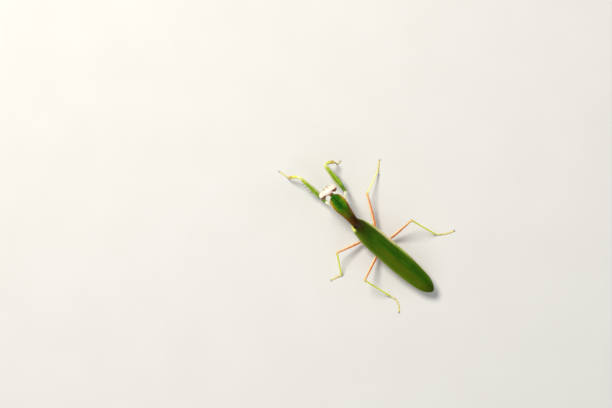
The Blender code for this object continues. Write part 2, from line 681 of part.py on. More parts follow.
def tail():
    """The two cerci and the plate under the tip of the abdomen."""
    for side, sign in (("left", 1), ("right", -1)):
        root = Vector((sign * 1.75 * MM, ABDOMEN_REAR.y - 0.3 * MM, ABDOMEN_REAR.z + 0.5 * MM))
        way = direction(90 - sign * 14, 4)
        points = [root + way * CERCUS_LENGTH * t for t in (0, 0.3, 0.65, 1)]
        cercus = tube(f"cercus_{side}", points, [0.42 * MM, 0.42 * MM, 0.36 * MM, 0.2 * MM])
        paint(cercus, "pale")
    plate = loft(
        "subgenital_plate", lambda t: Vector((TAIL_PLATE_LENGTH * t, 0, 0)),
        lambda t: (1.7 * MM * (1 - 0.45 * t), 0.4 * MM, 0.85 * MM), rings=7, around=10, bluntness=6)
    root = ABDOMEN_REAR + Vector((0, -2.2, -2.5)) * MM
    plate.matrix_world = frame(root, direction(90, 8), Vector((0, 0, 1)))
    paint(plate, "lime")


def centre_on_floor():
    """Moves the whole animal so that the origin is the middle of its footprint."""
    bpy.context.view_layer.update()
    graph = bpy.context.evaluated_depsgraph_get()
    corners = []
    for obj in parts.objects:
        if obj.type == "MESH":
            shape = obj.evaluated_get(graph)
            corners += [shape.matrix_world @ vertex.co for vertex in shape.data.vertices]
    middle = [(min(c[axis] for c in corners) + max(c[axis] for c in corners)) / 2 for axis in (0, 1)]
    shift = Matrix.Translation((-middle[0], -middle[1], 0))
    for obj in list(parts.objects) + list(cutters.objects):
        if obj.type == "MESH":
            obj.matrix_world = shift @ obj.matrix_world


floor_mesh = bmesh.new()
bmesh.ops.create_cube(floor_mesh, size=200 * MM, matrix=Matrix.Translation((0, 0, -100 * MM)))
floor_cutter = add_mesh("floor_cutter", floor_mesh, cutters)

for leg_side, leg_pose in FORE_LEGS.items():
    raptorial_leg(leg_side, leg_pose)
for leg_name, leg_pose in WALKING_LEGS.items():
    walking_leg(leg_name, leg_pose)
thorax()
pronotum()
prothorax()
abdomen()
head()
feelers()
mouth()
neck()
wings()
tail()
centre_on_floor()
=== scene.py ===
"""A life-size museum model of a large green praying mantis, adult, wings folded, held still.

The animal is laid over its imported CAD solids: +Z up, the head looks along -Y, its left is +X.
"""
import math
import random

import bmesh
import bpy
from mathutils import Matrix, Vector


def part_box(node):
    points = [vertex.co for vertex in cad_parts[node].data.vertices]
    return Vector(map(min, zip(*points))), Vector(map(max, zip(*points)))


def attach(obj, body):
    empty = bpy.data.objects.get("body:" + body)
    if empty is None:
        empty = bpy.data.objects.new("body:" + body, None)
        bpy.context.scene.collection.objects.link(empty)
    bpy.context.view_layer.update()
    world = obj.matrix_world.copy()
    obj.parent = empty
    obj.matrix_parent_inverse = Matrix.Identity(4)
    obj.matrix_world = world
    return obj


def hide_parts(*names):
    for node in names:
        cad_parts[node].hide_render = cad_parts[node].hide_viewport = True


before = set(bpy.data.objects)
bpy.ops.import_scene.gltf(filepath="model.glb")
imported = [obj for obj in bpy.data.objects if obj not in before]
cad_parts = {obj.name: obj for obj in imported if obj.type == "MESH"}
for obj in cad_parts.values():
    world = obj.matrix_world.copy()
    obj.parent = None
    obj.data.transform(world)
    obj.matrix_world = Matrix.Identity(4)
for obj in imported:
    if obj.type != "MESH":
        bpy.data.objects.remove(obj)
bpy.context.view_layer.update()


# The bench: a plain pale floor, a wide soft lamp ahead of the animal with weaker ones round it,
# and the camera straight overhead. Lengths on the animal are in millimetres from a point on the
# floor under its midline, which the abdomen's solid gives.
MM = 0.001
ABDOMEN_START = 4.7
belly_low, belly_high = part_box("abdomen")
MIDLINE = Vector(((belly_low.x + belly_high.x) / 2, belly_low.y - ABDOMEN_START * MM, 0))
UP = Vector((0, 0, 1))


def at(x, y, z):
    return MIDLINE + Vector((x, y, z)) * MM


def tint(red, green, blue):
    """A colour as paint charts give it, 0 to 255, for a shader."""
    linear = [((c / 255 + 0.055) / 1.055) ** 2.4 if c > 10 else c / 3300 for c in (red, green, blue)]
    return (*linear, 1.0)


class Wire:
    """A node's output, which stands in a sum as a number does."""

    def __init__(self, recipe, socket):
        self.recipe, self.socket = recipe, socket

    def __add__(self, other):
        return self.recipe.maths("ADD", self, other)

    def __sub__(self, other):
        return self.recipe.maths("SUBTRACT", self, other)

    def __rsub__(self, other):
        return self.recipe.maths("SUBTRACT", other, self)

    def __mul__(self, other):
        return self.recipe.maths("MULTIPLY", self, other)

    def __truediv__(self, other):
        return self.recipe.maths("DIVIDE", self, other)

    def __pow__(self, other):
        return self.recipe.maths("POWER", self, other)

    def __abs__(self):
        return self.recipe.maths("ABSOLUTE", self)

    __radd__, __rmul__ = __add__, __mul__


class Recipe:
    """A node tree being put together: a finish, or a rule that repeats a shape."""

    def __init__(self, tree):
        self.tree = tree

    def plug(self, socket, value):
        if isinstance(value, Wire):
            self.tree.links.new(value.socket, socket)
        else:
            socket.default_value = value

    def node(self, kind, settings=None, sockets=None):
        """Adds a node: its settings, then its sockets' values or wires. Gives its outputs."""
        node = self.tree.nodes.new(kind)
        for key, value in (settings or {}).items():
            setattr(node, key, value)
        for key, value in (sockets or {}).items():
            self.plug(next(s for s in node.inputs if s.enabled and key in (s.identifier, s.name)), value)
        shown = [out for out in node.outputs if out.enabled]
        return {key: Wire(self, out) for out in reversed(shown) for key in (out.name, out.identifier)}

    def maths(self, operation, *values):
        keys = ("Value", "Value_001")
        return self.node("ShaderNodeMath", {"operation": operation}, dict(zip(keys, values)))["Value"]

    def mix(self, share, first, second):
        """A colour between two, by a share from 0 to 1."""
        return self.node("ShaderNodeMix", {"data_type": "RGBA", "clamp_factor": True},
                         {"Factor_Float": share, "A_Color": first, "B_Color": second})["Result_Color"]

    def step(self, value, start, end):
        """0 before start, 1 after end and an eased slope between them."""
        return self.node("ShaderNodeMapRange", {"interpolation_type": "SMOOTHSTEP"},
                         {"Value": value, "From Min": start, "From Max": end})["Result"]

    def noise(self, size, vector, detail=3.0):
        """Noise whose blotches are about size millimetres, on coordinates in millimetres."""
        return self.node("ShaderNodeTexNoise", {}, {
            "Vector": vector, "Scale": 1 / size, "Detail": detail, "Roughness": 0.55})["Fac"]

    def cloud(self, size, detail=3.0):
        """Noise over the animal, from -0.5 to 0.5."""
        return self.noise(size, self.place, detail) - 0.5

    def vector(self, operation, first, second):
        return self.node("ShaderNodeVectorMath", {"operation": operation},
                         {"Vector": first, "Vector_001": second})

    def axes(self, vector):
        return self.node("ShaderNodeSeparateXYZ", {}, {"Vector": vector})

    def bump(self, strength, depth, height):
        """The normal of a fine relief, its depth in millimetres."""
        return self.node("ShaderNodeBump", {}, {
            "Strength": strength, "Distance": depth * MM, "Height": height})["Normal"]

    def surface(self, values):
        """Gives the finish's own sockets their values or wires."""
        for name, value in values.items():
            self.plug(self.shader.inputs[name], value)


def placed(name, data):
    """A new object that stands in the scene."""
    thing = bpy.data.objects.new(name, data)
    bpy.context.scene.collection.objects.link(thing)
    return thing


def new_finish(name):
    material = bpy.data.materials.new(name)
    material.use_nodes = True
    recipe = Recipe(material.node_tree)
    recipe.shader = material.node_tree.nodes["Principled BSDF"]
    spot = recipe.node("ShaderNodeTexCoord")["Object"]
    recipe.place = recipe.node("ShaderNodeMapping", {"vector_type": "POINT"}, {
        "Vector": spot, "Location": tuple(-MIDLINE / MM), "Scale": (1 / MM,) * 3})["Vector"]
    return material, recipe


bench_paper, paper = new_finish("bench_paper")
mottle = paper.noise(30.0, paper.place)
paper.surface({"Base Color": paper.mix(mottle, tint(216, 215, 211), tint(223, 222, 219)),
               "Roughness": 0.78 + 0.1 * mottle, "Specular IOR Level": 0.25})
sheet = bmesh.new()
bmesh.ops.create_grid(sheet, x_segments=2, y_segments=2, size=3.0)
floor_mesh = bpy.data.meshes.new("floor")
sheet.to_mesh(floor_mesh)
sheet.free()
floor_mesh.materials.append(bench_paper)
floor = placed("floor", floor_mesh)

camera = placed("camera", bpy.data.cameras.new("camera"))
camera.data.lens, camera.data.sensor_width = 72.0, 36.0
camera.data.clip_start, camera.data.clip_end = 0.01, 10.0
image_right, image_up = Vector((-0.658, 0.753, 0)), Vector((-0.753, -0.658, 0))
turned = Matrix((image_right, image_up, UP)).transposed().to_4x4()
camera.matrix_world = Matrix.Translation(at(8.71, -37.8, 600)) @ turned
bpy.context.scene.camera = camera

for label, towards, distance, size, watts, colour in (
        ("key", (-0.12, -0.8, 1.25), 0.9, 0.32, 7.6, (1.0, 0.965, 0.9)),
        ("fill", (1.0, 0.5, 1.2), 1.0, 0.9, 2.0, (0.96, 0.98, 1.0)),
        ("back", (-0.9, 0.9, 1.0), 1.0, 0.7, 1.4, (1.0, 0.98, 0.95))):
    lamp = placed(label, bpy.data.lights.new(label, "AREA"))
    lamp.data.shape, lamp.data.size, lamp.data.energy, lamp.data.color = "DISK", size, watts, colour
    aim = Vector(towards).normalized()
    lamp.matrix_world = Matrix.Translation(aim * distance) @ aim.to_track_quat("Z", "Y").to_matrix().to_4x4()
world = bpy.context.scene.world or bpy.data.worlds.new("studio")
bpy.context.scene.world = world
world.use_nodes = True
world.node_tree.nodes["Background"].inputs["Color"].default_value = (0.93, 0.95, 1.0, 1)
world.node_tree.nodes["Background"].inputs["Strength"].default_value = 0.26
bpy.context.scene.view_settings.view_transform = "Standard"


# The trunk: neck, prothorax, thorax and abdomen in one skin, soft and folded at the neck and
# where the prothorax bends on the thorax. The abdomen's rings slide over one another.
ANIMAL = Matrix.Translation(MIDLINE)
SHIELD_LENGTH = 21.0
THORAX_END = 4.4
ABDOMEN_END = 31.2
ABDOMEN_RINGS = 8


def way(heading, pitch):
    """Unit vector of a heading in the floor plane and a pitch above it, in degrees."""
    h, p = math.radians(heading), math.radians(pitch)
    return Vector((math.cos(p) * math.cos(h), math.cos(p) * math.sin(h), math.sin(p)))


def standing(origin, along, dorsal):
    """Place whose +X runs along a piece and whose +Z is its dorsal side."""
    x = along.normalized()
    y = dorsal.cross(x).normalized()
    return Matrix.Translation(origin) @ Matrix((x, y, x.cross(y))).transposed().to_4x4()


def eased(stations, t):
    """Value at t of a smooth curve through (place, value) stations."""
    i = 0
    while i < len(stations) - 2 and t > stations[i + 1][0]:
        i += 1
    (t0, v0), (t1, v1) = stations[i], stations[i + 1]
    before, after = stations[max(i - 1, 0)], stations[min(i + 2, len(stations) - 1)]
    span = t1 - t0
    slope0 = (v1 - before[1]) / (t1 - before[0]) * span
    slope1 = (after[1] - v0) / (after[0] - t0) * span
    u = min(max((t - t0) / span, 0.0), 1.0)
    return ((2 * u ** 3 - 3 * u ** 2 + 1) * v0 + (u ** 3 - 2 * u ** 2 + u) * slope0
            + (3 * u ** 2 - 2 * u ** 3) * v1 + (u ** 3 - u ** 2) * slope1)


def bell(value, middle, width):
    """1 at the middle, dying away on both sides."""
    return math.exp(-((value - middle) / width) ** 2)


def straight(length):
    """A spine of that length along the frame's +X."""
    return lambda t: Vector((length * t, 0, 0))


def tapered(stations, width, up=None, down=None):
    """A section that follows one curve: round, or with a height and a depth of its own."""
    return lambda t: [size * eased(stations, t) for size in (width, up or width, down or width)]


def sleeve(bm, place, spine, section, rings, around, blunt=10.0, square=2.0, relief=None, finish=0):
    """Adds a closed body round a line to bm, in millimetres in the frame of place.

    section(t) is its half width, height and depth, and relief(t, turn, point) lifts its skin.
    The turn runs from 0 on the dorsal line through 0.25 on local +Y to 0.5 below.
    """
    uv = bm.loops.layers.uv.verify()
    rows = []
    for i in range(1, rings):
        s = i / rings
        t = 0.4 * s + 0.3 * (1 - math.cos(math.pi * s))
        along = (spine(min(t + 0.003, 1)) - spine(max(t - 0.003, 0))).normalized()
        across = UP.cross(along).normalized()
        above = along.cross(across)
        closing = math.sqrt(max(0.0, 1 - abs(2 * t - 1) ** blunt))
        width, up, down = (max(size * closing, 1e-4) for size in section(t))
        row = []
        for k in range(around):
            c, s = math.cos(2 * math.pi * k / around), math.sin(2 * math.pi * k / around)
            c, s = (math.copysign(abs(v) ** (2 / square), v) for v in (c, s))
            height = up if c > 0 else down
            point = spine(t) + across * (width * s) + above * (height * c)
            if relief:
                outward = (across * (s / width) + above * (c / height)).normalized()
                point += outward * (relief(t, k / around, point) * min(1.0, closing * 1.5))
            row.append(bm.verts.new(place @ (point * MM)))
        rows.append((t, row))
    ends = [bm.verts.new(place @ (spine(t) * MM)) for t in (0, 1)]

    def face(corners):
        made_face = bm.faces.new([vertex for vertex, _ in corners])
        made_face.material_index, made_face.smooth = finish, True
        for loop, (_, spot) in zip(made_face.loops, corners):
            loop[uv].uv = spot

    for k in range(around):
        n, u0, u1 = (k + 1) % around, k / around, (k + 1) / around
        (t0, first), (t1, last) = rows[0], rows[-1]
        face([(ends[0], (u0, 0)), (first[n], (u1, t0)), (first[k], (u0, t0))])
        face([(ends[1], (u0, 1)), (last[k], (u0, t1)), (last[n], (u1, t1))])
        for (ta, a), (tb, b) in zip(rows, rows[1:]):
            face([(a[k], (u0, ta)), (a[n], (u1, ta)), (b[n], (u1, tb)), (b[k], (u0, tb))])


def dress(piece, slot, *nodes):
    """The piece rides on the body and stands for the solids it covers. The slot is not used."""
    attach(piece, "root")
    if nodes:
        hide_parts(*nodes)


def made(name, bm, *finishes):
    """A finished piece of a bmesh of closed bodies. Nothing of it goes below the floor."""
    bmesh.ops.recalc_face_normals(bm, faces=bm.faces)
    for vertex in bm.verts:
        vertex.co.z = max(vertex.co.z, 0.0)
    mesh = bpy.data.meshes.new(name)
    bm.to_mesh(mesh)
    bm.free()
    for finish in finishes:
        mesh.materials.append(finish)
    return placed(name, mesh)


def cuticle(name, paint, pits=0.16, depth=0.012, rough=0.42, wax=0.1, glow=0.12, shine=0.35):
    """The finish of insect skin. paint(recipe, along, turn) gives its colour; pits are in mm."""
    material, recipe = new_finish(name)
    spot = recipe.axes(recipe.node("ShaderNodeUVMap")["UV"])
    colour = paint(recipe, spot["Y"], spot["X"])
    blotch = recipe.noise(0.55, recipe.place, 4.0)
    pores = recipe.node("ShaderNodeTexVoronoi", {"feature": "F1"},
                        {"Vector": recipe.place, "Scale": 1 / pits})["Distance"]
    shade = recipe.node("ShaderNodeHueSaturation", {}, {
        "Color": colour, "Saturation": 0.94 + 0.14 * blotch, "Value": 0.84 + 0.3 * blotch - 0.1 * pores})
    recipe.surface({
        "Base Color": shade["Color"], "Roughness": rough - 0.08 + 0.18 * blotch,
        "Coat Weight": wax * (0.6 + 0.8 * blotch), "Coat Roughness": 0.3, "Specular IOR Level": shine,
        "Subsurface Weight": glow, "Subsurface Radius": (1.0, 0.8, 0.3), "Subsurface Scale": 0.0006,
        "Normal": recipe.bump(0.6, depth, 1.4 * pores + blotch)})
    return material


def trunk_paint(recipe, along, turn):
    """Neck cream at the head and olive behind, green-yellow body, brown edges on the rings."""
    y = recipe.axes(recipe.place)["Y"]
    body = recipe.mix(recipe.step(y, -33.0, -32.2), tint(232, 186, 140), tint(150, 138, 30))
    body = recipe.mix(recipe.step(y, -31.5, -27.5), body, tint(140, 146, 44))
    body = recipe.mix(recipe.step(y, -17.0, -11.0), body, tint(120, 142, 36))
    under = recipe.step(0.22 - abs(turn - 0.5), 0.0, 0.2)
    body = recipe.mix(0.5 * under, body, tint(196, 196, 116))
    ring = recipe.maths("FRACT", (y - ABDOMEN_START) * (ABDOMEN_RINGS / (ABDOMEN_END - ABDOMEN_START)))
    edge = recipe.step(ring, 0.86, 0.97) * recipe.step(y, 5.0, 6.0)
    return recipe.mix(0.55 * edge, body, tint(122, 84, 40))


shield_place = standing(at(-2.56, -31.0, 21.35), way(81.6, -30.0), UP)
trunk_stops = [(-2.14, -32.95, 20.1, 0.78, 0.78, 0.78), (-2.2, -32.25, 20.02, 0.82, 0.82, 0.82),
               (-2.4, -31.8, 19.86, 0.86, 0.86, 0.86)]
for x, z, width, height in ((0.25, -1.7, 1.0, 0.98), (1.1, -1.5, 1.25, 1.2), (3.5, -1.52, 1.55, 1.3),
                            (6.6, -1.82, 1.72, 1.6), (10.5, -1.6, 1.58, 1.42), (15.0, -1.5, 1.58, 1.32),
                            (19.2, -1.5, 1.72, 1.25)):
    joint = (shield_place @ (Vector((x, 0, z)) * MM) - MIDLINE) / MM
    trunk_stops.append((*joint, width, height, height))
trunk_stops += [
    (0, -13.0, 8.75, 1.95, 1.1, 1.5), (0, -11.0, 8.4, 2.55, 1.55, 2.05), (0, -6.5, 8.2, 2.85, 1.7, 2.3),
    (0, -2.3, 8.0, 2.62, 1.62, 2.15), (0, 1.0, 7.85, 2.82, 1.6, 2.2), (0, 4.0, 7.6, 2.6, 1.5, 2.1),
    (0, 6.0, 7.1, 2.95, 1.55, 2.1), (0, 12.65, 6.5, 4.02, 1.62, 2.24), (0, 19.3, 5.93, 4.24, 1.64, 2.26),
    (0, 25.9, 5.36, 3.56, 1.62, 2.22), (0, 30.0, 5.0, 2.5, 1.4, 1.9), (0, ABDOMEN_END, 4.9, 1.9, 1.2, 1.6)]
reach = [0.0]
for a, b in zip(trunk_stops, trunk_stops[1:]):
    reach.append(reach[-1] + (Vector(b[:3]) - Vector(a[:3])).length)
trunk_lines = [[(r / reach[-1], stop[i]) for r, stop in zip(reach, trunk_stops)] for i in range(6)]
FORE_ROOTS = {"right": (-3.75, -24.3, 16.4), "left": (0.75, -25.0, 16.1)}
COXA_SOCKETS = [Vector(spot) for spot in (
    (2.45, -4.1, 7.0), (-2.45, -4.1, 7.0), (2.5, 3.1, 6.4), (-2.5, 3.1, 6.4), *FORE_ROOTS.values())]


def trunk_relief(t, turn, point):
    """Neck folds, furrows, rims round the coxae, sutures below, overlapping rings and a pleural fold."""
    y, side, below = point.y, math.sin(2 * math.pi * turn), -math.cos(2 * math.pi * turn)
    lift = 0.0
    for socket in COXA_SOCKETS:
        lift += 0.2 * bell((point - socket).length, 1.35, 0.3) * (y < THORAX_END)
    if y < THORAX_END and below > 0:
        lift -= 0.12 * bell(side, 0.0, 0.07) * (y > -29.5)
        lift += 0.06 * bell(abs(side), 0.34, 0.14) * (y < -14)
        for crease in (-27.0, -21.8, -9.4, -5.9, 1.0):
            lift -= 0.13 * bell(y, crease + 1.3 * abs(side), 0.2)
    if y < -30.2:
        lift -= 0.07 * (1 + math.sin(30 * t * math.pi * 4))
    if -14.5 < y < -12.0:
        lift += 0.06 * math.sin(y * 9)
    if -12 < y < THORAX_END:
        lift -= 0.16 * bell(y, -2.3, 0.3) + 0.1 * bell(y, -8.0 + 1.5 * abs(side), 0.22)
    if y > THORAX_END:
        ring = (y - ABDOMEN_START) / (ABDOMEN_END - ABDOMEN_START) * ABDOMEN_RINGS
        share = ring - math.floor(ring)
        lift += 0.1 * share - 0.16 * math.exp(-share / 0.06) - 0.03
        lift -= 0.22 * bell(below, 0.22, 0.1) * min(1.0, (y - THORAX_END) / 3)
        lift += 0.05 * bell(side, 0.0, 0.1) * (below > 0)
    return lift


bm = bmesh.new()
sleeve(bm, ANIMAL, lambda t: Vector([eased(line, t) for line in trunk_lines[:3]]),
       lambda t: [eased(line, t) for line in trunk_lines[3:]], 300, 72, blunt=60, square=2.15,
       relief=trunk_relief)
trunk_skin = cuticle("trunk_skin", trunk_paint)
dress(made("trunk_skin", bm, trunk_skin), "trunk", "neck", "prothorax", "mesothorax", "metathorax", "abdomen")


# The shield of the prothorax, the pronotum: a hard plate widened over the fore coxae, crossed
# there by a groove, keeled behind it, with thin saw-edged margins. It is fused to the skin below.
SHIELD_HALF_WIDTH = 3.6
SHIELD_GROOVE = 0.335
SHIELD_WIDTHS = ((0, 0.78), (0.14, 0.9), (0.3, 1.0), (0.43, 0.93), (0.6, 0.75), (0.8, 0.627), (1, 0.642))


def growth_rule(name, inputs):
    """An empty Geometry Nodes tree with named inputs, and the outputs of its input node."""
    tree = bpy.data.node_groups.new(name, "GeometryNodeTree")
    tree.interface.new_socket("Geometry", in_out="INPUT", socket_type="NodeSocketGeometry")
    for label, kind in inputs:
        tree.interface.new_socket(label, in_out="INPUT", socket_type="NodeSocket" + kind)
    tree.interface.new_socket("Geometry", in_out="OUTPUT", socket_type="NodeSocketGeometry")
    recipe = Recipe(tree)
    return recipe, recipe.node("NodeGroupInput")


def finish_rule(recipe, geometry, material):
    """Ends a tree as plain geometry with its finish."""
    plain = recipe.node("GeometryNodeRealizeInstances", {}, {"Geometry": geometry})["Geometry"]
    dressed = recipe.node("GeometryNodeSetMaterial", {}, {"Geometry": plain, "Material": material})
    recipe.node("NodeGroupOutput", {}, {"Geometry": dressed["Geometry"]})


def finished(name, carrier):
    """The plain mesh piece that the modifier on a carrier makes. The carrier goes."""
    bpy.context.view_layer.update()
    mesh = bpy.data.meshes.new_from_object(carrier.evaluated_get(bpy.context.evaluated_depsgraph_get()))
    bpy.data.objects.remove(carrier)
    return placed(name, mesh)


def grown(name, base, recipe, sizes):
    """The plain mesh piece that a rule makes of a base mesh."""
    carrier = placed(name + "_base", base)
    modifier = carrier.modifiers.new("growth", "NODES")
    modifier.node_group = recipe.tree
    for item in recipe.tree.interface.items_tree:
        if item.in_out == "INPUT" and item.name in sizes:
            modifier[item.identifier] = sizes[item.name]
    piece = finished(name, carrier)
    for label in ("aim", "curl", "reach"):
        if label in piece.data.attributes:
            piece.data.attributes.remove(piece.data.attributes[label])
    return piece


def held(recipe, name, kind="FLOAT_VECTOR"):
    """What a base mesh holds under that name at each point."""
    return recipe.node("GeometryNodeInputNamedAttribute", {"data_type": kind}, {"Name": name})["Attribute"]


def drum(recipe, sides, top, bottom):
    """A cone of unit height on the origin, which keeps its height as "tip", and the place on it."""
    mesh = recipe.node("GeometryNodeMeshCone", {"fill_type": "TRIANGLE_FAN"}, {
        "Vertices": sides, "Side Segments": 5, "Radius Top": top, "Radius Bottom": bottom,
        "Depth": 1.0})["Mesh"]
    spot = recipe.axes(recipe.node("GeometryNodeInputPosition")["Position"])
    marked = recipe.node("GeometryNodeStoreNamedAttribute", {"data_type": "FLOAT", "domain": "POINT"},
                         {"Geometry": mesh, "Name": "tip", "Value": spot["Z"]})
    return marked["Geometry"], spot


# One spine, tooth or bristle stands on each point, along its aim and bent towards its curl.
spine_rule, given = growth_rule("spine_rule", (("Width", "Float"), ("Bend", "Float"), ("Sides", "Int"),
                                               ("Material", "Material")))
spike, spot = drum(spine_rule, given["Sides"], 0.0, given["Width"])
bent = spine_rule.node("ShaderNodeCombineXYZ", {}, {"X": spot["Z"] * spot["Z"] * given["Bend"]})["Vector"]
spike = spine_rule.node("GeometryNodeSetPosition", {}, {"Geometry": spike, "Offset": bent})["Geometry"]
lean = spine_rule.node("FunctionNodeAlignRotationToVector", {"axis": "Z"}, {
    "Vector": held(spine_rule, "aim")})
lean = spine_rule.node("FunctionNodeAlignRotationToVector", {"axis": "X", "pivot_axis": "Z"}, {
    "Rotation": lean["Rotation"], "Vector": held(spine_rule, "curl")})
stood = spine_rule.node("GeometryNodeInstanceOnPoints", {}, {
    "Points": given["Geometry"], "Instance": spike, "Rotation": lean["Rotation"],
    "Scale": held(spine_rule, "reach", "FLOAT")})["Instances"]
finish_rule(spine_rule, stood, given["Material"])


def spine_on(place, spot, aim, size, curl=(1, 0, 0)):
    """A spine for studs, from its root, aim and curl in a piece's frame and its length, in mm."""
    turned = place.to_3x3()
    return place @ (Vector(spot) * MM), turned @ Vector(aim), turned @ Vector(curl), size * MM


def studs(name, spines, finish, width, bend, sides=6):
    """Spines, each a root, an aim, a curl and a length in metres, as one piece."""
    roots, aims, curls, lengths = zip(*spines)
    base = bpy.data.meshes.new(name)
    base.from_pydata([tuple(root) for root in roots], [], [])
    for label, column in (("aim", aims), ("curl", curls)):
        layer = base.attributes.new(label, "FLOAT_VECTOR", "POINT")
        layer.data.foreach_set("vector", [number for row in column for number in row])
    base.attributes.new("reach", "FLOAT", "POINT").data.foreach_set("value", lengths)
    return grown(name, base, spine_rule, {"Width": width, "Bend": bend, "Sides": sides, "Material": finish})


def spine_finish(name, foot, point, start=0.35):
    """A horny spine, dark from its middle to its point."""
    material, recipe = new_finish(name)
    tip = recipe.node("ShaderNodeAttribute", {"attribute_name": "tip"})["Fac"]
    grain = recipe.noise(0.15, recipe.place)
    recipe.surface({"Base Color": recipe.mix(recipe.step(tip + 0.2 * grain, start, start + 0.4), foot, point),
                    "Roughness": 0.3 + 0.2 * grain, "Coat Weight": 0.3})
    return material


def shield_paint(recipe, along, turn):
    """A green disc split by a dark line, yellow then brown margins and a red-brown rear, with painted light
    and shade: lighter on the animal's left, darker on its right, and painted shade in the cross groove.
    """
    wave = recipe.maths("SINE", turn * (2 * math.pi))
    side = abs(wave)
    # left is 1 on the animal's right side. The olive, the rim, the rear and its edge take darker tints there
    # and lighter ones on the animal's left: painted light and shade.
    left = recipe.step(wave, -0.35, 0.35)
    cloud = recipe.cloud(2.2, 4.0)
    green = recipe.mix(recipe.step(cloud, -0.12, 0.16), tint(26, 98, 0), tint(52, 120, 0))
    patch = (recipe.step(side + 0.6 * cloud, 0.28, 0.62) * recipe.step(along, 0.06, 0.2)
             * (1 - recipe.step(along + 0.4 * cloud, 0.36, 0.56)))
    green = recipe.mix(0.75 * patch, green, tint(96, 148, 0))
    green = recipe.mix(0.7 * (1 - recipe.step(side, 0.03, 0.14)), green, tint(24, 58, 0))
    olive = recipe.mix(left, tint(96, 104, 2), tint(64, 74, 0))
    green = recipe.mix(0.85 * recipe.step(along + 0.3 * cloud, 0.36, 0.6), green, olive)
    waist = recipe.step(along, 0.4, 0.66)
    margin = recipe.step(side + 0.3 * cloud + 0.16 * waist, 0.64, 0.86)
    rim = recipe.mix(recipe.step(along + 0.2 * cloud, 0.0, 0.17), tint(100, 112, 8), tint(186, 152, 16))
    rim = recipe.mix(recipe.step(along + 0.2 * cloud, 0.27, 0.42), rim,
                     recipe.mix(left, tint(132, 102, 6), tint(124, 74, 8)))
    plate = recipe.mix(margin, green, rim)
    # The cross groove is painted darker: painted shade in the crease.
    groove = 1 - recipe.step(abs(along - SHIELD_GROOVE + 0.05 * side), 0.004, 0.014)
    plate = recipe.mix(0.5 * groove, plate, tint(26, 40, 0))
    rear = recipe.step(along + 0.3 * cloud - 0.06 * side, 0.56, 0.76)
    dark = recipe.mix(left, tint(84, 52, 4), tint(50, 24, 0))
    edge = recipe.mix(left, tint(124, 84, 12), tint(84, 46, 6))
    plate = recipe.mix(rear, plate, recipe.mix(0.7 * recipe.step(side, 0.45, 0.9), dark, edge))
    return recipe.mix(recipe.step(abs(turn - 0.5), 0.26, 0.2), plate, tint(170, 150, 64))


def shield_relief(t, turn, point):
    """The cross groove, the keel, the furrow of the front part and the thin raised margins."""
    side, above = math.sin(2 * math.pi * turn), math.cos(2 * math.pi * turn)
    if above < 0:
        return -0.12 * (1 - side * side)
    lift = -0.2 * bell(t, SHIELD_GROOVE - 0.05 * abs(side), 0.011) * min(1.0, 2.5 * (1 - abs(side)))
    lift += 0.13 * bell(point.y, 0, 0.16) * min(1.0, max(0.0, (t - 0.37) / 0.06))
    lift -= 0.1 * bell(point.y, 0, 0.12) * bell(t, 0.17, 0.1)
    lift -= 0.2 * bell(abs(side), 0.86, 0.09) * (1 - 0.4 * t)
    lift -= 0.13 * bell(abs(side), 0.5, 0.13) * bell(t, 0.24, 0.06)
    lift += 0.07 * bell(abs(side), 0.45, 0.25) * bell(t, 0.42, 0.06)
    return lift


shield_horn = cuticle("shield_horn", shield_paint, pits=0.22, depth=0.02, rough=0.5, wax=0.01, glow=0.05,
                      shine=0.1)
bm = bmesh.new()
sleeve(bm, shield_place, straight(SHIELD_LENGTH),
       lambda t: (SHIELD_HALF_WIDTH * eased(SHIELD_WIDTHS, t), 0.95, 0.45), 150, 96, blunt=9,
       relief=shield_relief)
dress(made("pronotum_shield", bm, shield_horn), "shield", "pronotum")

saw_finish = spine_finish("saw_edge", tint(176, 146, 34), tint(104, 62, 14))
teeth = []
for sign in (1, -1):
    for i in range(46):
        t = 0.045 + 0.9 * i / 45
        half = SHIELD_HALF_WIDTH * eased(SHIELD_WIDTHS, t) * math.sqrt(1 - abs(2 * t - 1) ** 9)
        size = (0.2 if t < 0.45 else 0.12) * (0.8 + 0.4 * ((i * 7) % 5) / 4)
        teeth.append(spine_on(shield_place, (SHIELD_LENGTH * t, sign * (half - 0.05), 0),
                              (-0.25, sign, 0.1), size, (-1, 0, 0)))
dress(studs("pronotum_teeth", teeth, saw_finish, 0.42, 0.2), "shield")


# The back plate between the wing bases: a small hard red-brown shield behind the pronotum, with a
# plate at each side from which a wing is hung. It is fused to the skin of the thorax.
def back_plate_paint(recipe, along, turn):
    """Dark red-brown, with a painted cream highlight at the left wing's root and olive at the right one's."""
    spot = recipe.axes(recipe.place)
    x = spot["X"]
    cloud = recipe.cloud(0.9)
    brown = recipe.mix(recipe.step(cloud, -0.15, 0.2), tint(38, 22, 0), tint(58, 38, 0))
    # The cream at the left wing's root is a painted highlight on the lit shoulder.
    root = recipe.mix(recipe.step(x, -1.0, 1.0), tint(92, 88, 16), tint(214, 214, 112))
    outer = recipe.step(abs(x) + 0.5 * cloud, 1.75, 2.2) * (1 - recipe.step(spot["Y"], -13.5, -12.7))
    return recipe.mix(outer, brown, root)


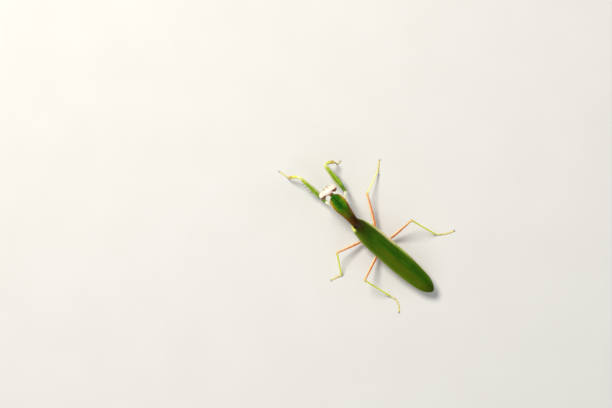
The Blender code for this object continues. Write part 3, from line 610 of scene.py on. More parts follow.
bm = bmesh.new()
sleeve(bm, standing(at(0.05, -13.9, 10.0), way(90, 6), UP), straight(5.2),
       lambda t: (2.6 - 1.3 * t, 1.5 + 0.25 * t, 0.7), 50, 56, blunt=8, square=2.2,
       relief=lambda t, turn, point: (-0.1 * bell(t, 0.42, 0.03) + 0.1 * bell(point.y, 0, 0.12)
                                      - 0.1 * bell(abs(point.y), 1.1 - 0.8 * t, 0.14)))
for sign in (1, -1):
    sleeve(bm, standing(at(2.0 * sign, -14.55, 10.05), way(90 - 14 * sign, 4), Vector((sign * 0.35, 0, 1))),
           straight(4.2), lambda t: (0.62 + 0.1 * t, 0.72, 0.6), 40, 36, blunt=5,
           relief=lambda t, turn, point: -0.08 * bell(t, 0.6, 0.05) + 0.06 * bell(point.y, 0, 0.1))
back_plate_horn = cuticle("back_plate_horn", back_plate_paint, pits=0.18, depth=0.02, rough=0.5, wax=0.01,
                          shine=0.12)
dress(made("back_plate", bm, back_plate_horn), "shield")


# The head: one hard capsule, upright and triangular, with furrows over the vertex, a shield plate
# below the feelers, cheeks, and a clypeus above the mouth. It hangs on the neck.
HEAD_SPOT = (-2.35, -33.9, 20.6)
HEAD_BOTTOM, HEAD_TOP = 3.3, 2.9
HEAD_BLUNT = 7
HEAD_WIDTHS = ((0, 0.26), (0.14, 0.36), (0.35, 0.58), (0.6, 0.93), (0.85, 1.0), (1, 0.95))
HEAD_DEPTHS = ((0, 0.5), (0.2, 0.72), (0.5, 0.95), (0.75, 1.0), (1, 0.8))
face_back = way(78.0, 0)
head_place = standing(at(*HEAD_SPOT), face_back.cross(UP), UP)
chin_up = Matrix.Translation((0, 0, -HEAD_BOTTOM * MM)) @ Matrix.Rotation(-math.pi / 2, 4, "Y")


def on_head(x, y, z):
    """Place given in millimetres in the head's frame."""
    return head_place @ (Vector((x, y, z)) * MM)


def head_size(t):
    return (1.8 * eased(HEAD_DEPTHS, t), 3.15 * eased(HEAD_WIDTHS, t), 3.15 * eased(HEAD_WIDTHS, t))


def face_at(x, z):
    """Point of the face at a distance from its middle line and a height, in millimetres."""
    t = (z + HEAD_BOTTOM) / (HEAD_TOP + HEAD_BOTTOM)
    closing = math.sqrt(max(0.0, 1 - abs(2 * t - 1) ** HEAD_BLUNT))
    depth, width, _ = (size * closing for size in head_size(t))
    return Vector((x, -depth * math.sqrt(max(0.0, 1 - (x / width) ** 2)), z))


def head_relief(t, turn, point):
    """Everything modelled on the capsule: x to its left, y to its back and z up."""
    x, y, z = abs(point.z), point.y, point.x - HEAD_BOTTOM
    lift = 0.0
    if z > 0.4:
        for furrow, deep in ((0.55, 0.1), (1.5, 0.13)):
            lift -= deep * bell(x, furrow, 0.12) * min(1.0, (z - 0.4) / 0.8)
        lift += 0.05 * bell(x, 1.05, 0.3)
    if y < 0.3:
        from_feeler = math.hypot(x - 0.8, z - 1.0)
        lift += 0.16 * bell(from_feeler, 0.42, 0.11) - 0.2 * bell(from_feeler, 0.0, 0.26)
        plate_top = 0.42 - 0.34 * (x / 1.35) ** 2
        for inside, height, ramp, depth, crease in (
                (min(1.45 - x, plate_top - z, z + 0.95), 0.12, 0.12, 0.1, (-0.06, 0.07)),
                (min(1.22 - 0.15 * (z + 1.5) - x, -1.1 - z, z + 2.05), 0.1, 0.1, 0.08, (-0.05, 0.06)),
                (min(0.95 + 0.25 * (z + 2.2) - x, -2.15 - z, z + 3.25), 0.08, 0.15, 0.08, (-0.05, 0.06))):
            lift += height * min(1.0, max(0.0, inside / ramp)) - depth * bell(inside, *crease)
        lift -= 0.1 * bell(x, 1.75 + 0.35 * (z + 1.0), 0.1) * bell(z, -1.1, 0.8)
    else:
        lift -= 0.14 * bell(math.hypot(x, z + 0.5), 1.15, 0.25)
    return lift


def face_paint(recipe, along, turn):
    """Cream with a pink bloom, yellower towards the mouth, red-brown behind the eyes."""
    spot = recipe.axes(recipe.vector("SUBTRACT", recipe.place, HEAD_SPOT)["Vector"])
    back = spot["X"] * face_back.x + spot["Y"] * face_back.y
    side = abs(spot["X"] * face_back.y - spot["Y"] * face_back.x)
    cloud = recipe.cloud(0.9, 4.0)
    raised = recipe.step(spot["Z"] + 1.2 * cloud, -2.2, 0.6)
    front = recipe.mix(raised, tint(222, 212, 136), tint(255, 246, 228))
    front = recipe.mix(recipe.step(cloud, 0.0, 0.25) * 0.4, front, tint(246, 208, 192))
    rear = recipe.mix(recipe.step(cloud, -0.1, 0.2), tint(252, 212, 196), tint(255, 236, 224))
    front = recipe.mix(recipe.step(back + 0.6 * cloud, 0.2, 1.0), front, rear)
    front = recipe.mix(recipe.step(back + 0.4 * cloud, 1.25, 1.7), front, tint(206, 150, 96))
    behind = recipe.mix(recipe.step(cloud, -0.1, 0.2), tint(140, 74, 14), tint(176, 108, 40))
    return recipe.mix(recipe.step(back + 0.5 * cloud, 0.4, 0.9) * recipe.step(side, 1.5, 2.1), front, behind)


bm = bmesh.new()
sleeve(bm, head_place @ chin_up, straight(HEAD_TOP + HEAD_BOTTOM), head_size, 130, 144,
       blunt=HEAD_BLUNT, relief=head_relief)
face_skin = cuticle("face_skin", face_paint, pits=0.14, depth=0.01, rough=0.4, wax=0.2, glow=0.2)
dress(made("head_capsule", bm, face_skin), "face", "head")


# The eyes: two large compound eyes of hundreds of domed facets, banded faintly, with the dark
# spot that a mantis seems to look with. Three small glassy ocelli sit between the feelers.
SIDES = (("left", 1), ("right", -1))
EYE_RADII = Vector((1.45, 1.85, 2.15)) * 0.995 * MM
EYE_LEAN = 16.0


def smoothed(recipe, geometry):
    return recipe.node("GeometryNodeSetShadeSmooth", {}, {
        "Geometry": geometry, "Shade Smooth": True})["Geometry"]


eye_rule, given = growth_rule("eye_rule", (("Fineness", "Int"), ("Facet", "Float"), ("Swell", "Float"),
                                           ("Radii", "Vector"), ("Material", "Material")))
ball = eye_rule.node("GeometryNodeMeshIcoSphere", {}, {
    "Radius": 1.0, "Subdivisions": given["Fineness"]})["Mesh"]
comb = eye_rule.node("GeometryNodeDualMesh", {}, {"Mesh": ball})["Dual Mesh"]
comb = eye_rule.node("GeometryNodeExtrudeMesh", {"mode": "FACES"}, {
    "Mesh": comb, "Offset Scale": given["Swell"], "Individual": True})
comb = eye_rule.node("GeometryNodeScaleElements", {"domain": "FACE", "scale_mode": "UNIFORM"}, {
    "Geometry": comb["Mesh"], "Selection": comb["Top"], "Scale": given["Facet"]})["Geometry"]
comb = eye_rule.node("GeometryNodeTransform", {}, {"Geometry": comb, "Scale": given["Radii"]})["Geometry"]
finish_rule(eye_rule, smoothed(eye_rule, comb), given["Material"])

for side, sign in SIDES:
    eye_low, eye_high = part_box("eye_" + side)
    eye_middle = (eye_low + eye_high) / 2
    eye_glass, recipe = new_finish("eye_glass_" + side)
    spot = recipe.vector("SUBTRACT", recipe.place, tuple((eye_middle - MIDLINE) / MM))["Vector"]
    parts = recipe.axes(spot)
    back = parts["X"] * face_back.x + parts["Y"] * face_back.y
    bands = recipe.node("ShaderNodeTexWave", {"wave_type": "BANDS", "bands_direction": "Z"}, {
        "Vector": spot, "Scale": 0.9, "Distortion": 3.0, "Detail": 3.0, "Detail Scale": 1.2})["Fac"]
    cloud = recipe.noise(0.6, spot)
    amber = recipe.mix(recipe.step(cloud, 0.4, 0.75), tint(255, 248, 232), tint(246, 216, 190))
    amber = recipe.mix(0.14 * bands, amber, tint(186, 122, 74))
    amber = recipe.mix(recipe.step(back + 0.5 * cloud, 0.35, 1.0), amber, tint(138, 72, 14))
    gaze = recipe.vector("DISTANCE", spot, (0.55 * sign - 0.3, -1.72, 0.1))["Value"]
    amber = recipe.mix(1 - recipe.step(gaze, 0.2, 0.34), amber, tint(30, 16, 10))
    recipe.surface({"Base Color": amber, "Roughness": 0.2 + 0.12 * cloud, "Coat Weight": 0.35,
                    "Coat Roughness": 0.1})
    eye = grown("compound_eye_" + side, bpy.data.meshes.new("eye_base"), eye_rule, {
        "Fineness": 6, "Facet": 0.8, "Swell": 0.006, "Radii": EYE_RADII, "Material": eye_glass})
    lean = Matrix.Rotation(math.radians(EYE_LEAN * sign), 4, "Y")
    eye.data.transform(Matrix.Translation(eye_middle) @ head_place.to_3x3().to_4x4() @ lean)
    dress(eye, "eye", "eye_" + side)

bm = bmesh.new()
for x, z in ((0.0, 0.78), (0.42, 1.42), (-0.42, 1.42)):
    bead = bmesh.ops.create_icosphere(bm, subdivisions=4, radius=0.19 * MM)["verts"]
    for vertex in bead:
        vertex.co = head_place @ (vertex.co + (face_at(x, z) + Vector((0, -0.02, 0))) * MM)
for face in bm.faces:
    face.smooth = True
bead_glass, recipe = new_finish("ocellus_glass")
bead_amber = recipe.mix(recipe.noise(0.2, recipe.place), tint(140, 84, 30), tint(214, 160, 84))
recipe.surface({"Base Color": bead_amber, "Roughness": 0.08, "Coat Weight": 1.0})
dress(made("ocelli", bm, bead_glass), "eye")


# The feelers: a stout first joint in its socket, a short second one, then a long thread of
# small rings. The palps beside the mouth are jointed in the same way.
joint_rule, given = growth_rule("joint_rule", (
    ("Joints", "Int"), ("Root", "Float"), ("Tip", "Float"), ("Joint length", "Float"), ("Waist", "Float"),
    ("Sides", "Int"), ("Material", "Material")))
line = joint_rule.node("GeometryNodeMeshToCurve", {}, {"Mesh": given["Geometry"]})["Curve"]
spots = joint_rule.node("GeometryNodeCurveToPoints", {"mode": "COUNT"}, {
    "Curve": line, "Count": given["Joints"]})
share = joint_rule.node("GeometryNodeInputIndex")["Index"] / (given["Joints"] - 1)
radius = given["Root"] + (given["Tip"] - given["Root"]) * share
ring, spot = drum(joint_rule, given["Sides"], 1.0, given["Waist"])
plump = 1 - 0.35 * abs(2 * spot["Z"] - 1) ** 6.0
squeezed = joint_rule.node("ShaderNodeCombineXYZ", {}, {
    "X": spot["X"] * plump, "Y": spot["Y"] * plump, "Z": spot["Z"]})["Vector"]
ring = joint_rule.node("GeometryNodeSetPosition", {}, {"Geometry": ring, "Position": squeezed})["Geometry"]
ring = smoothed(joint_rule, ring)
lean = joint_rule.node("FunctionNodeAlignRotationToVector", {"axis": "Z"}, {"Vector": spots["Tangent"]})
size = joint_rule.node("ShaderNodeCombineXYZ", {}, {"X": radius, "Y": radius, "Z": given["Joint length"]})
strung = joint_rule.node("GeometryNodeInstanceOnPoints", {}, {
    "Points": spots["Points"], "Instance": ring, "Rotation": lean["Rotation"], "Scale": size["Vector"]})
finish_rule(joint_rule, strung["Instances"], given["Material"])


def jointed(name, points, joints, root, tip, waist, finish, sides=10, overlap=1.12):
    """A chain of joints threaded on a line of points, as one piece."""
    base = bpy.data.meshes.new(name)
    base.from_pydata([tuple(point) for point in points], [(i, i + 1) for i in range(len(points) - 1)], [])
    length = sum((b - a).length for a, b in zip(points, points[1:]))
    return grown(name, base, joint_rule, {
        "Joints": joints, "Root": root * MM, "Tip": tip * MM, "Joint length": length / (joints - 1) * overlap,
        "Waist": waist, "Sides": sides, "Material": finish})


def ring_finish(name, pale, dark):
    """Jointed horn: each joint is darker at its far rim."""
    material, recipe = new_finish(name)
    tip = recipe.node("ShaderNodeAttribute", {"attribute_name": "tip"})["Fac"]
    grain = recipe.noise(0.3, recipe.place)
    rim = recipe.step(tip, 0.55, 1.0) * (0.5 + 0.4 * grain)
    recipe.surface({"Base Color": recipe.mix(rim, pale, dark), "Roughness": 0.38 + 0.2 * grain})
    return material


FEELER_LENGTH = 21.0
feeler_horn = ring_finish("feeler_horn", tint(240, 222, 184), tint(206, 168, 116))
palp_horn = ring_finish("palp_horn", tint(214, 202, 126), tint(168, 140, 74))
for side, sign in SIDES:
    route = []
    for i in range(41):
        t = i / 40
        out = Vector((sign * 0.1 * t ** 1.3, 0.22 * t * t - 0.12 * t, 0.97 * t)) * FEELER_LENGTH
        route.append(on_head(*(Vector((sign * 0.8, -2.17, 1.0)) + out)))
    thread = jointed("feeler_" + side, route[3:], 92, 0.14, 0.055, 0.78, feeler_horn)
    dress(thread, "feeler", "antenna_" + side)
    bm = bmesh.new()
    socket, elbow = on_head(sign * 0.8, -1.55, 0.9), on_head(sign * 0.82, -2.2, 1.85)
    for a, b, radius in ((socket, elbow, 0.27), (elbow, route[3], 0.19)):
        sleeve(bm, standing(a, b - a, face_back), straight((b - a).length / MM + 0.1),
               lambda t: (radius * (0.8 + 0.3 * t),) * 3, 16, 20, blunt=5)
    dress(made("feeler_root_" + side, bm, feeler_horn), "feeler")
    palp_route = [on_head(sign * x, y, z) for x, y, z in (
        (1.15, 0.0, -3.05), (1.5, -0.4, -3.7), (1.62, -0.9, -4.15), (1.55, -1.3, -4.55), (1.2, -1.58, -4.95))]
    palp = jointed("palp_jointed_" + side, palp_route, 5, 0.25, 0.2, 0.62, palp_horn, 16, 1.05)
    dress(palp, "mouth_plate", "palp_" + side)


# The mouth: a tongue-shaped upper lip over two hard toothed jaws and a lower lip behind them.
# It closes the capsule from below.
def mouth_paint(recipe, along, turn):
    """Yellow-green cream with a brown lower edge."""
    return recipe.mix(recipe.step(along, 0.6, 1.0), tint(214, 204, 132), tint(150, 100, 48))


bm = bmesh.new()
down = head_place.to_3x3() @ Vector((0, 0, -1))
for x, y, z, length, half, thick in ((0, -0.55, -3.0, 1.45, 0.66, 0.2), (0.36, 0.0, -2.9, 1.5, 0.4, 0.42),
                                     (-0.36, 0.0, -2.9, 1.5, 0.4, 0.42), (0, 0.55, -2.95, 1.35, 0.58, 0.2)):
    sleeve(bm, standing(on_head(x, y, z), down, face_back), straight(length),
           lambda t: (half * (1 - 0.35 * t * t), thick, thick), 26, 28, blunt=5, square=2.4,
           relief=lambda t, turn, point: 0.03 * math.sin(point.y * 14) * t)
jaw_horn = cuticle("jaw_horn", mouth_paint, pits=0.1, depth=0.008)
dress(made("mouth_parts", bm, jaw_horn), "mouth_plate", "mouthparts")


# The four walking legs: a short coxa in its socket, a knuckle, a slim ridged femur lobed at the
# knee, a bristly tibia with two spurs, and a foot of five joints and two claws.
WALKING_LENGTHS = {"mid": (4.8, 15.8, 14.6, 5.6), "hind": (5.2, 19.0, 20.2, 9.3)}
WALKING_RADII = {"mid": (1.15, 0.83, 0.42), "hind": (1.25, 0.8, 0.42)}
ANKLE_HEIGHT = 1.2
FOOT_RADIUS = 0.34
FOOT_JOINTS = (0.36, 0.19, 0.15, 0.12, 0.18)


def thigh_paint(recipe, along, turn):
    """Orange, with a painted cream highlight along the upper front edge, the side towards the lamp ahead,
    yellower at the knee.
    """
    x = recipe.axes(recipe.place)["X"]
    above = recipe.maths("COSINE", turn * (2 * math.pi))
    ahead = recipe.maths("SINE", turn * (2 * math.pi)) * (1 - 2 * recipe.step(x, -0.5, 0.5))
    cloud = recipe.cloud(1.3)
    flesh = recipe.mix(recipe.step(cloud, -0.15, 0.2), tint(246, 122, 28), tint(254, 158, 62))
    # A painted highlight in cream on the upper front side of the femur, which faces the lamp ahead.
    painted_highlight = recipe.step(0.4 * above + 0.9 * ahead + 0.5 * cloud, 0.26, 0.74)
    flesh = recipe.mix(painted_highlight, flesh, tint(254, 232, 196))
    flesh = recipe.mix(0.8 * recipe.step(along + 0.3 * cloud, 0.76, 0.97), flesh, tint(244, 210, 124))
    ridge = recipe.step(abs(recipe.maths("SINE", turn * (4 * math.pi))), 0.0, 0.16)
    return recipe.mix(0.15 - 0.15 * ridge, flesh, tint(176, 84, 28))


def coxa_paint(recipe, along, turn):
    """Yellow-green at the root and salmon from its middle to the knuckle."""
    cloud = recipe.cloud(1.0)
    return recipe.mix(recipe.step(along + 0.4 * cloud, 0.1, 0.55), tint(158, 164, 64), tint(228, 140, 76))


def shank_paint(recipe, along, turn):
    """Bright yellow-green with a tan upper end and a brown lower one, with painted sunlight making the right
    middle leg paler.
    """
    spot = recipe.axes(recipe.place)
    cloud = recipe.cloud(1.1)
    lime = recipe.mix(recipe.step(cloud, -0.1, 0.2), tint(244, 252, 12), tint(252, 254, 72))
    # Painted sunlight: the right middle leg's tibia is painted paler.
    painted_sunlight = (1 - recipe.step(spot["X"], -6.0, -4.0)) * (1 - recipe.step(spot["Y"], -14.0, -10.0))
    lime = recipe.mix(0.85 * painted_sunlight, lime, tint(252, 250, 176))
    lime = recipe.mix(1 - recipe.step(along, 0.0, 0.1), lime, tint(240, 204, 122))
    return recipe.mix(recipe.step(along + 0.1 * cloud, 0.94, 1.0), lime, tint(204, 156, 72))


def foot_paint(recipe, along, turn):
    """Yellow-green joints with tan far ends."""
    return recipe.mix(recipe.step(along, 0.5, 1.0), tint(240, 234, 104), tint(222, 164, 78))


def claw_paint(recipe, along, turn):
    """Brown horn that darkens to the point."""
    return recipe.mix(recipe.step(along, 0.1, 0.8), tint(132, 82, 38), tint(46, 24, 12))


thigh_horn = cuticle("thigh_horn", thigh_paint, pits=0.2, rough=0.36)
hip_horn = cuticle("hip_horn", lambda recipe, along, turn: thigh_paint(recipe, 0.0, turn), pits=0.2,
                   rough=0.36)
coxa_horn = cuticle("coxa_horn", coxa_paint, pits=0.2)
shank_horn = cuticle("shank_horn", shank_paint, pits=0.16, rough=0.36)
foot_horn = cuticle("foot_horn", foot_paint, pits=0.12)
claw_horn = cuticle("claw_horn", claw_paint, pits=0.1, rough=0.25)
bristle_horn = spine_finish("bristle_horn", tint(214, 200, 116), tint(172, 140, 66))
spur_horn = spine_finish("spur_horn", tint(214, 200, 96), tint(84, 46, 20), 0.45)


def hooked(root, crest, tip):
    """A spine that curves from its root towards a crest and on to its tip."""
    return lambda t: root * (1 - t) ** 2 + crest * 2 * t * (1 - t) + tip * t * t


def foot(bm, ankle, toe, bend, bow, finishes):
    """Five joints along the floor, bowed to their left, to a pair of curved claws."""
    rest = FOOT_RADIUS - 0.05
    end = Vector((toe.x, toe.y, rest))
    aside = UP.cross(toe - ankle).normalized() * bow
    knuckle, landing = (ankle.lerp(toe, share) + aside for share in (bend, 0.4 + 0.6 * bend))
    knuckle.z = landing.z = rest
    start = ankle - (knuckle - ankle).normalized() * 0.3

    def path(t):
        return (start * (1 - t) ** 3 + knuckle * 3 * t * (1 - t) ** 2
                + landing * 3 * t * t * (1 - t) + end * t ** 3)

    begin = 0.0
    for i, share in enumerate(FOOT_JOINTS):
        first, last = max(begin - 0.02, 0), min(begin + share + 0.012, 1)
        sleeve(bm, ANIMAL, lambda t: path(first + (last - first) * t),
               lambda t: (FOOT_RADIUS * (0.62 + 0.36 * t ** 1.5), FOOT_RADIUS * (0.6 + 0.2 * t),
                          FOOT_RADIUS * (0.66 + 0.34 * t ** 2)),
               14 if i else 22, 18, blunt=6, finish=finishes[0],
               relief=lambda t, turn, point: 0.05 * bell(t, 0.9, 0.15) * bell(turn, 0.5, 0.12))
        begin += share
    along = (end - landing).normalized()
    side = along.cross(UP)
    for sign in (1, -1):
        root = end + side * (0.12 * sign) - along * 0.15
        tip = end + along * 0.72 + side * (0.42 * sign) - Vector((0, 0, rest - 0.06))
        crest = (root + tip) / 2 + along * 0.12 + side * (0.1 * sign) + Vector((0, 0, 0.24))
        sleeve(bm, ANIMAL, hooked(root, crest, tip), lambda t: (0.1 * (1.05 - t) ** 0.7,) * 3, 16, 10,
               blunt=8, finish=finishes[1])


def bristles(name, spine, radius, count, seed, size):
    """Fine bristles all round a limb, leaning down it."""
    chance = random.Random(seed)
    places = []
    for _ in range(count):
        t, turn = chance.uniform(0.04, 0.97), chance.uniform(0.0, 1.0)
        along = (spine(min(t + 0.01, 1)) - spine(max(t - 0.01, 0))).normalized()
        across = UP.cross(along).normalized()
        out = across * math.sin(2 * math.pi * turn) + along.cross(across) * math.cos(2 * math.pi * turn)
        aim = out + along * chance.uniform(0.7, 1.5)
        root = MIDLINE + (spine(t) + out * (radius(t) * 0.9)) * MM
        if (root + aim.normalized() * size * 1.4 * MM).z > 0.02 * MM:
            places.append((root, aim, along, chance.uniform(0.6, 1.3) * size * MM))
    return studs(name, places, bristle_horn, 0.045, 0.25, 4)


def walking_leg(name, root, coxa, femur, tibia_heading, tarsus_heading, bow):
    """One leg from its root, with the heading and pitch of each part. bow bends its foot aside."""
    pair, side = name.split("_")
    coxa_length, femur_length, tibia_length, tarsus_length = WALKING_LENGTHS[pair]
    coxa_radius, femur_radius, tibia_radius = WALKING_RADII[pair]
    coxa_way, femur_way = way(*coxa), way(*femur)
    root = Vector(root)
    hip = root + coxa_way * coxa_length
    knee = hip + femur_way * femur_length
    tibia_way = way(tibia_heading, -math.degrees(math.asin((knee.z - ANKLE_HEIGHT) / tibia_length)))
    ankle = knee + tibia_way * tibia_length
    toe = ankle + way(tarsus_heading, 0) * tarsus_length

    # Coxa, knuckle and femur
    bm = bmesh.new()
    sleeve(bm, ANIMAL, lambda t: root.lerp(hip - coxa_way * femur_radius * 0.1, t),
           tapered(((0, 0.9), (0.3, 1.0), (0.75, 0.78), (1, 0.66)), coxa_radius),
           30, 28, blunt=12, square=2.2, finish=1,
           relief=lambda t, turn, point: (0.08 * math.cos(6 * math.pi * turn) * (1 - t)
                                          - 0.06 * bell(t, 0.82, 0.03)))
    sleeve(bm, ANIMAL, lambda t: hip + femur_way * (-0.45 + 2.75 * t),
           tapered(((0, 0.75), (0.35, 1.1), (0.75, 0.98), (1, 0.9)), femur_radius),
           22, 26, blunt=6, finish=2)
    sideways = UP.cross(femur_way).normalized()
    arch = femur_way.cross(sideways) * -0.35
    girth = ((0, 0.85), (0.06, 1.0), (0.12, 1.05), (0.35, 1.0), (0.6, 0.86), (0.85, 0.72), (0.95, 0.84),
             (1, 0.74))

    def arched(t):
        return hip.lerp(knee, t) + arch * math.sin(math.pi * t)

    sleeve(bm, ANIMAL, lambda t: arched(0.12 + 0.88 * t) + femur_way * (0.25 * t),
           tapered(girth, femur_radius * 0.92, femur_radius, femur_radius), 90, 36, blunt=26,
           relief=lambda t, turn, point: (0.05 * max(0.0, math.cos(8 * math.pi * turn)) ** 6 - 0.02
                                          + 0.09 * bell(t, 0.965, 0.03) * abs(math.sin(2 * math.pi * turn))
                                          - 0.07 * bell(t, 0.925, 0.012)))
    thigh = made(name + "_thigh", bm, thigh_horn, coxa_horn, hip_horn)
    dress(thigh, "walking_femur", *(f"{pair}_{part}_{side}" for part in ("coxa", "trochanter", "femur")))

    # Tibia and foot
    bm = bmesh.new()
    shaft = ((0, 1.25), (0.05, 1.2), (0.12, 0.98), (0.25, 0.92), (0.6, 0.86), (0.9, 0.95), (1, 1.12))
    sleeve(bm, ANIMAL, lambda t: (knee - tibia_way * 0.1).lerp(ankle + tibia_way * 0.1, t),
           tapered(shaft, tibia_radius), 70, 24, blunt=30,
           relief=lambda t, turn, point: (0.03 * max(0.0, math.cos(6 * math.pi * turn)) ** 4
                                          - 0.05 * bell(t, 0.075, 0.01)))
    foot(bm, ankle, toe, 0.35, bow, (1, 2))
    shank = made(name + "_shank", bm, shank_horn, foot_horn, claw_horn)
    dress(shank, "walking_shank", f"{pair}_tibia_{side}", f"{pair}_tarsus_{side}")

    # Spurs at the ankle and at the knee, and the bristles
    across = tibia_way.cross(UP).normalized()
    spurs = []
    for sign in (1, -1):
        base = ankle - tibia_way * 1.2 + across * (tibia_radius * 0.5 * sign)
        spurs.append(spine_on(ANIMAL, base, tibia_way * 0.85 + across * (0.75 * sign), 1.0, tibia_way))
        base = knee - femur_way * 0.2 + sideways * (femur_radius * 0.6 * sign)
        spurs.append(spine_on(ANIMAL, base, femur_way * 0.8 + sideways * (0.35 * sign), 0.75, femur_way))
    dress(studs(name + "_spurs", spurs, spur_horn, 0.16, 0.15, 8), "walking_shank")
    seed = sum(map(ord, name))
    dress(bristles(name + "_bristles", lambda t: knee.lerp(ankle, t), lambda t: tibia_radius * 0.9,
                   170, seed, 0.3), "walking_shank")
    dress(bristles(name + "_down", lambda t: arched(0.15 + 0.85 * t), lambda t: femur_radius * 0.85,
                   120, seed + 1, 0.2), "walking_femur")


walking_leg("mid_right", (-2.4, -3.8, 8.0), (-144.0, -31.0), (-124.4, 13.4), -166.6, -147.3, 0)
walking_leg("mid_left", (2.4, -3.85, 8.0), (-46.0, -69.0), (-25.2, 25.1), 53.5, -20.0, 0)
walking_leg("hind_right", (-2.4, 3.15, 7.6), (155.0, -68.0), (174.8, 40.3), 102.9, 140.7, -0.9)
walking_leg("hind_left", (2.25, 3.25, 7.6), (51.0, -76.0), (11.9, 37.5), 98.4, 70.5, 2.3)


# The two raptorial legs: a long three-edged coxa, a knuckle, a deep flat-sided femur with two
# rows of spines, and a short spined tibia that shuts against it and ends in a long claw. The
# foot is jointed to the tibia beside the claw.
FORE_COXA, FORE_FEMUR, FORE_TIBIA = 11.8, 17.9, 8.8
KNUCKLE_GAP = 0.2
SHIN_ARCH = 0.55
FEMUR_DEPTHS = ((0, 0.78), (0.2, 0.97), (0.4, 1.0), (0.7, 0.72), (0.93, 0.5), (1, 0.48))
FEMUR_THICK = ((0, 0.85), (0.35, 1.0), (0.7, 0.78), (1, 0.72))


def pale_paint(recipe, along, turn):
    """Nearly white with a yellow bloom, greener at the knuckle."""
    cloud = recipe.cloud(1.2)
    pale = recipe.mix(recipe.step(cloud, -0.1, 0.25), tint(252, 254, 226), tint(255, 255, 248))
    return recipe.mix(0.6 * recipe.step(along + 0.2 * cloud, 0.84, 0.98), pale, tint(186, 196, 62))


def knuckle_paint(recipe, along, turn):
    """Leaf green, as the femur that it carries."""
    cloud = recipe.cloud(0.8)
    return recipe.mix(recipe.step(cloud, -0.15, 0.2), tint(86, 134, 0), tint(132, 164, 12))


def fore_femur_paint(recipe, along, turn):
    """Bright leaf green, a dark line below the pale upper edge, yellower at the knee."""
    cloud = recipe.cloud(1.4, 4.0)
    above = recipe.maths("COSINE", turn * (2 * math.pi)) + 0.25 * cloud
    green = recipe.mix(recipe.step(cloud, -0.15, 0.2), tint(138, 186, 0), tint(176, 214, 12))
    green = recipe.mix(0.7 * recipe.step(above, 0.4, 0.7), green, tint(66, 110, 0))
    green = recipe.mix(0.75 * (1 - recipe.step(above, -0.9, -0.45)), green, tint(70, 122, 0))
    green = recipe.mix(0.8 - 0.8 * recipe.step(along + 0.2 * cloud, 0.0, 0.3), green, tint(72, 132, 0))
    green = recipe.mix(0.9 * recipe.step(along + 0.2 * cloud, 0.6, 0.98), green, tint(206, 216, 54))
    green = recipe.mix(0.9 * recipe.step(above, 0.9, 0.99), green, tint(220, 222, 120))
    return recipe.mix(0.85 * recipe.step(along, 0.86, 0.98), green, tint(246, 248, 168))


def fore_tibia_paint(recipe, along, turn):
    """Yellow with an orange stain before the claw."""
    cloud = recipe.cloud(0.9)
    pale = recipe.mix(recipe.step(cloud, -0.1, 0.2), tint(242, 240, 76), tint(250, 248, 140))
    stain = recipe.step(along + 0.2 * cloud, 0.5, 0.66) * (1 - recipe.step(along, 0.84, 0.95))
    pale = recipe.mix(0.9 - 0.9 * recipe.step(along, 0.08, 0.24), pale, tint(250, 252, 196))
    return recipe.mix(0.6 * stain, pale, tint(222, 140, 30))


def hook_paint(recipe, along, turn):
    """Yellow horn browning to a nearly black point."""
    dark = recipe.mix(recipe.step(along, 0.6, 0.95), tint(150, 84, 36), tint(36, 18, 10))
    return recipe.mix(recipe.step(along, 0.15, 0.6), tint(216, 196, 90), dark)


def fore_foot_paint(recipe, along, turn):
    """Pale yellow joints with tan far ends."""
    return recipe.mix(recipe.step(along, 0.6, 1.0), tint(238, 232, 132), tint(206, 156, 72))


pale_horn = cuticle("pale_horn", pale_paint, pits=0.2, glow=0.2)
knuckle_horn = cuticle("knuckle_horn", knuckle_paint, pits=0.2, shine=0.25)
leaf_horn = cuticle("leaf_horn", fore_femur_paint, pits=0.24, depth=0.016, shine=0.25)
fore_tibia_horn = cuticle("fore_tibia_horn", fore_tibia_paint, pits=0.16, glow=0.2)
hook_horn = cuticle("hook_horn", hook_paint, pits=0.1, rough=0.25)
fore_foot_horn = cuticle("fore_foot_horn", fore_foot_paint, pits=0.12)
grasping_horn = spine_finish("grasping_horn", tint(176, 190, 70), tint(58, 30, 14), 0.3)
comb_horn = spine_finish("comb_horn", tint(224, 216, 104), tint(88, 46, 20), 0.4)


def clear_of(parent_radius, radius, parent_way, onward):
    """Distance from a joint at which the solid after it starts."""
    cosine = -parent_way.dot(onward)
    if cosine <= 0:
        return parent_radius + KNUCKLE_GAP
    return (parent_radius + KNUCKLE_GAP + radius * cosine) / math.sqrt(1 - cosine ** 2)


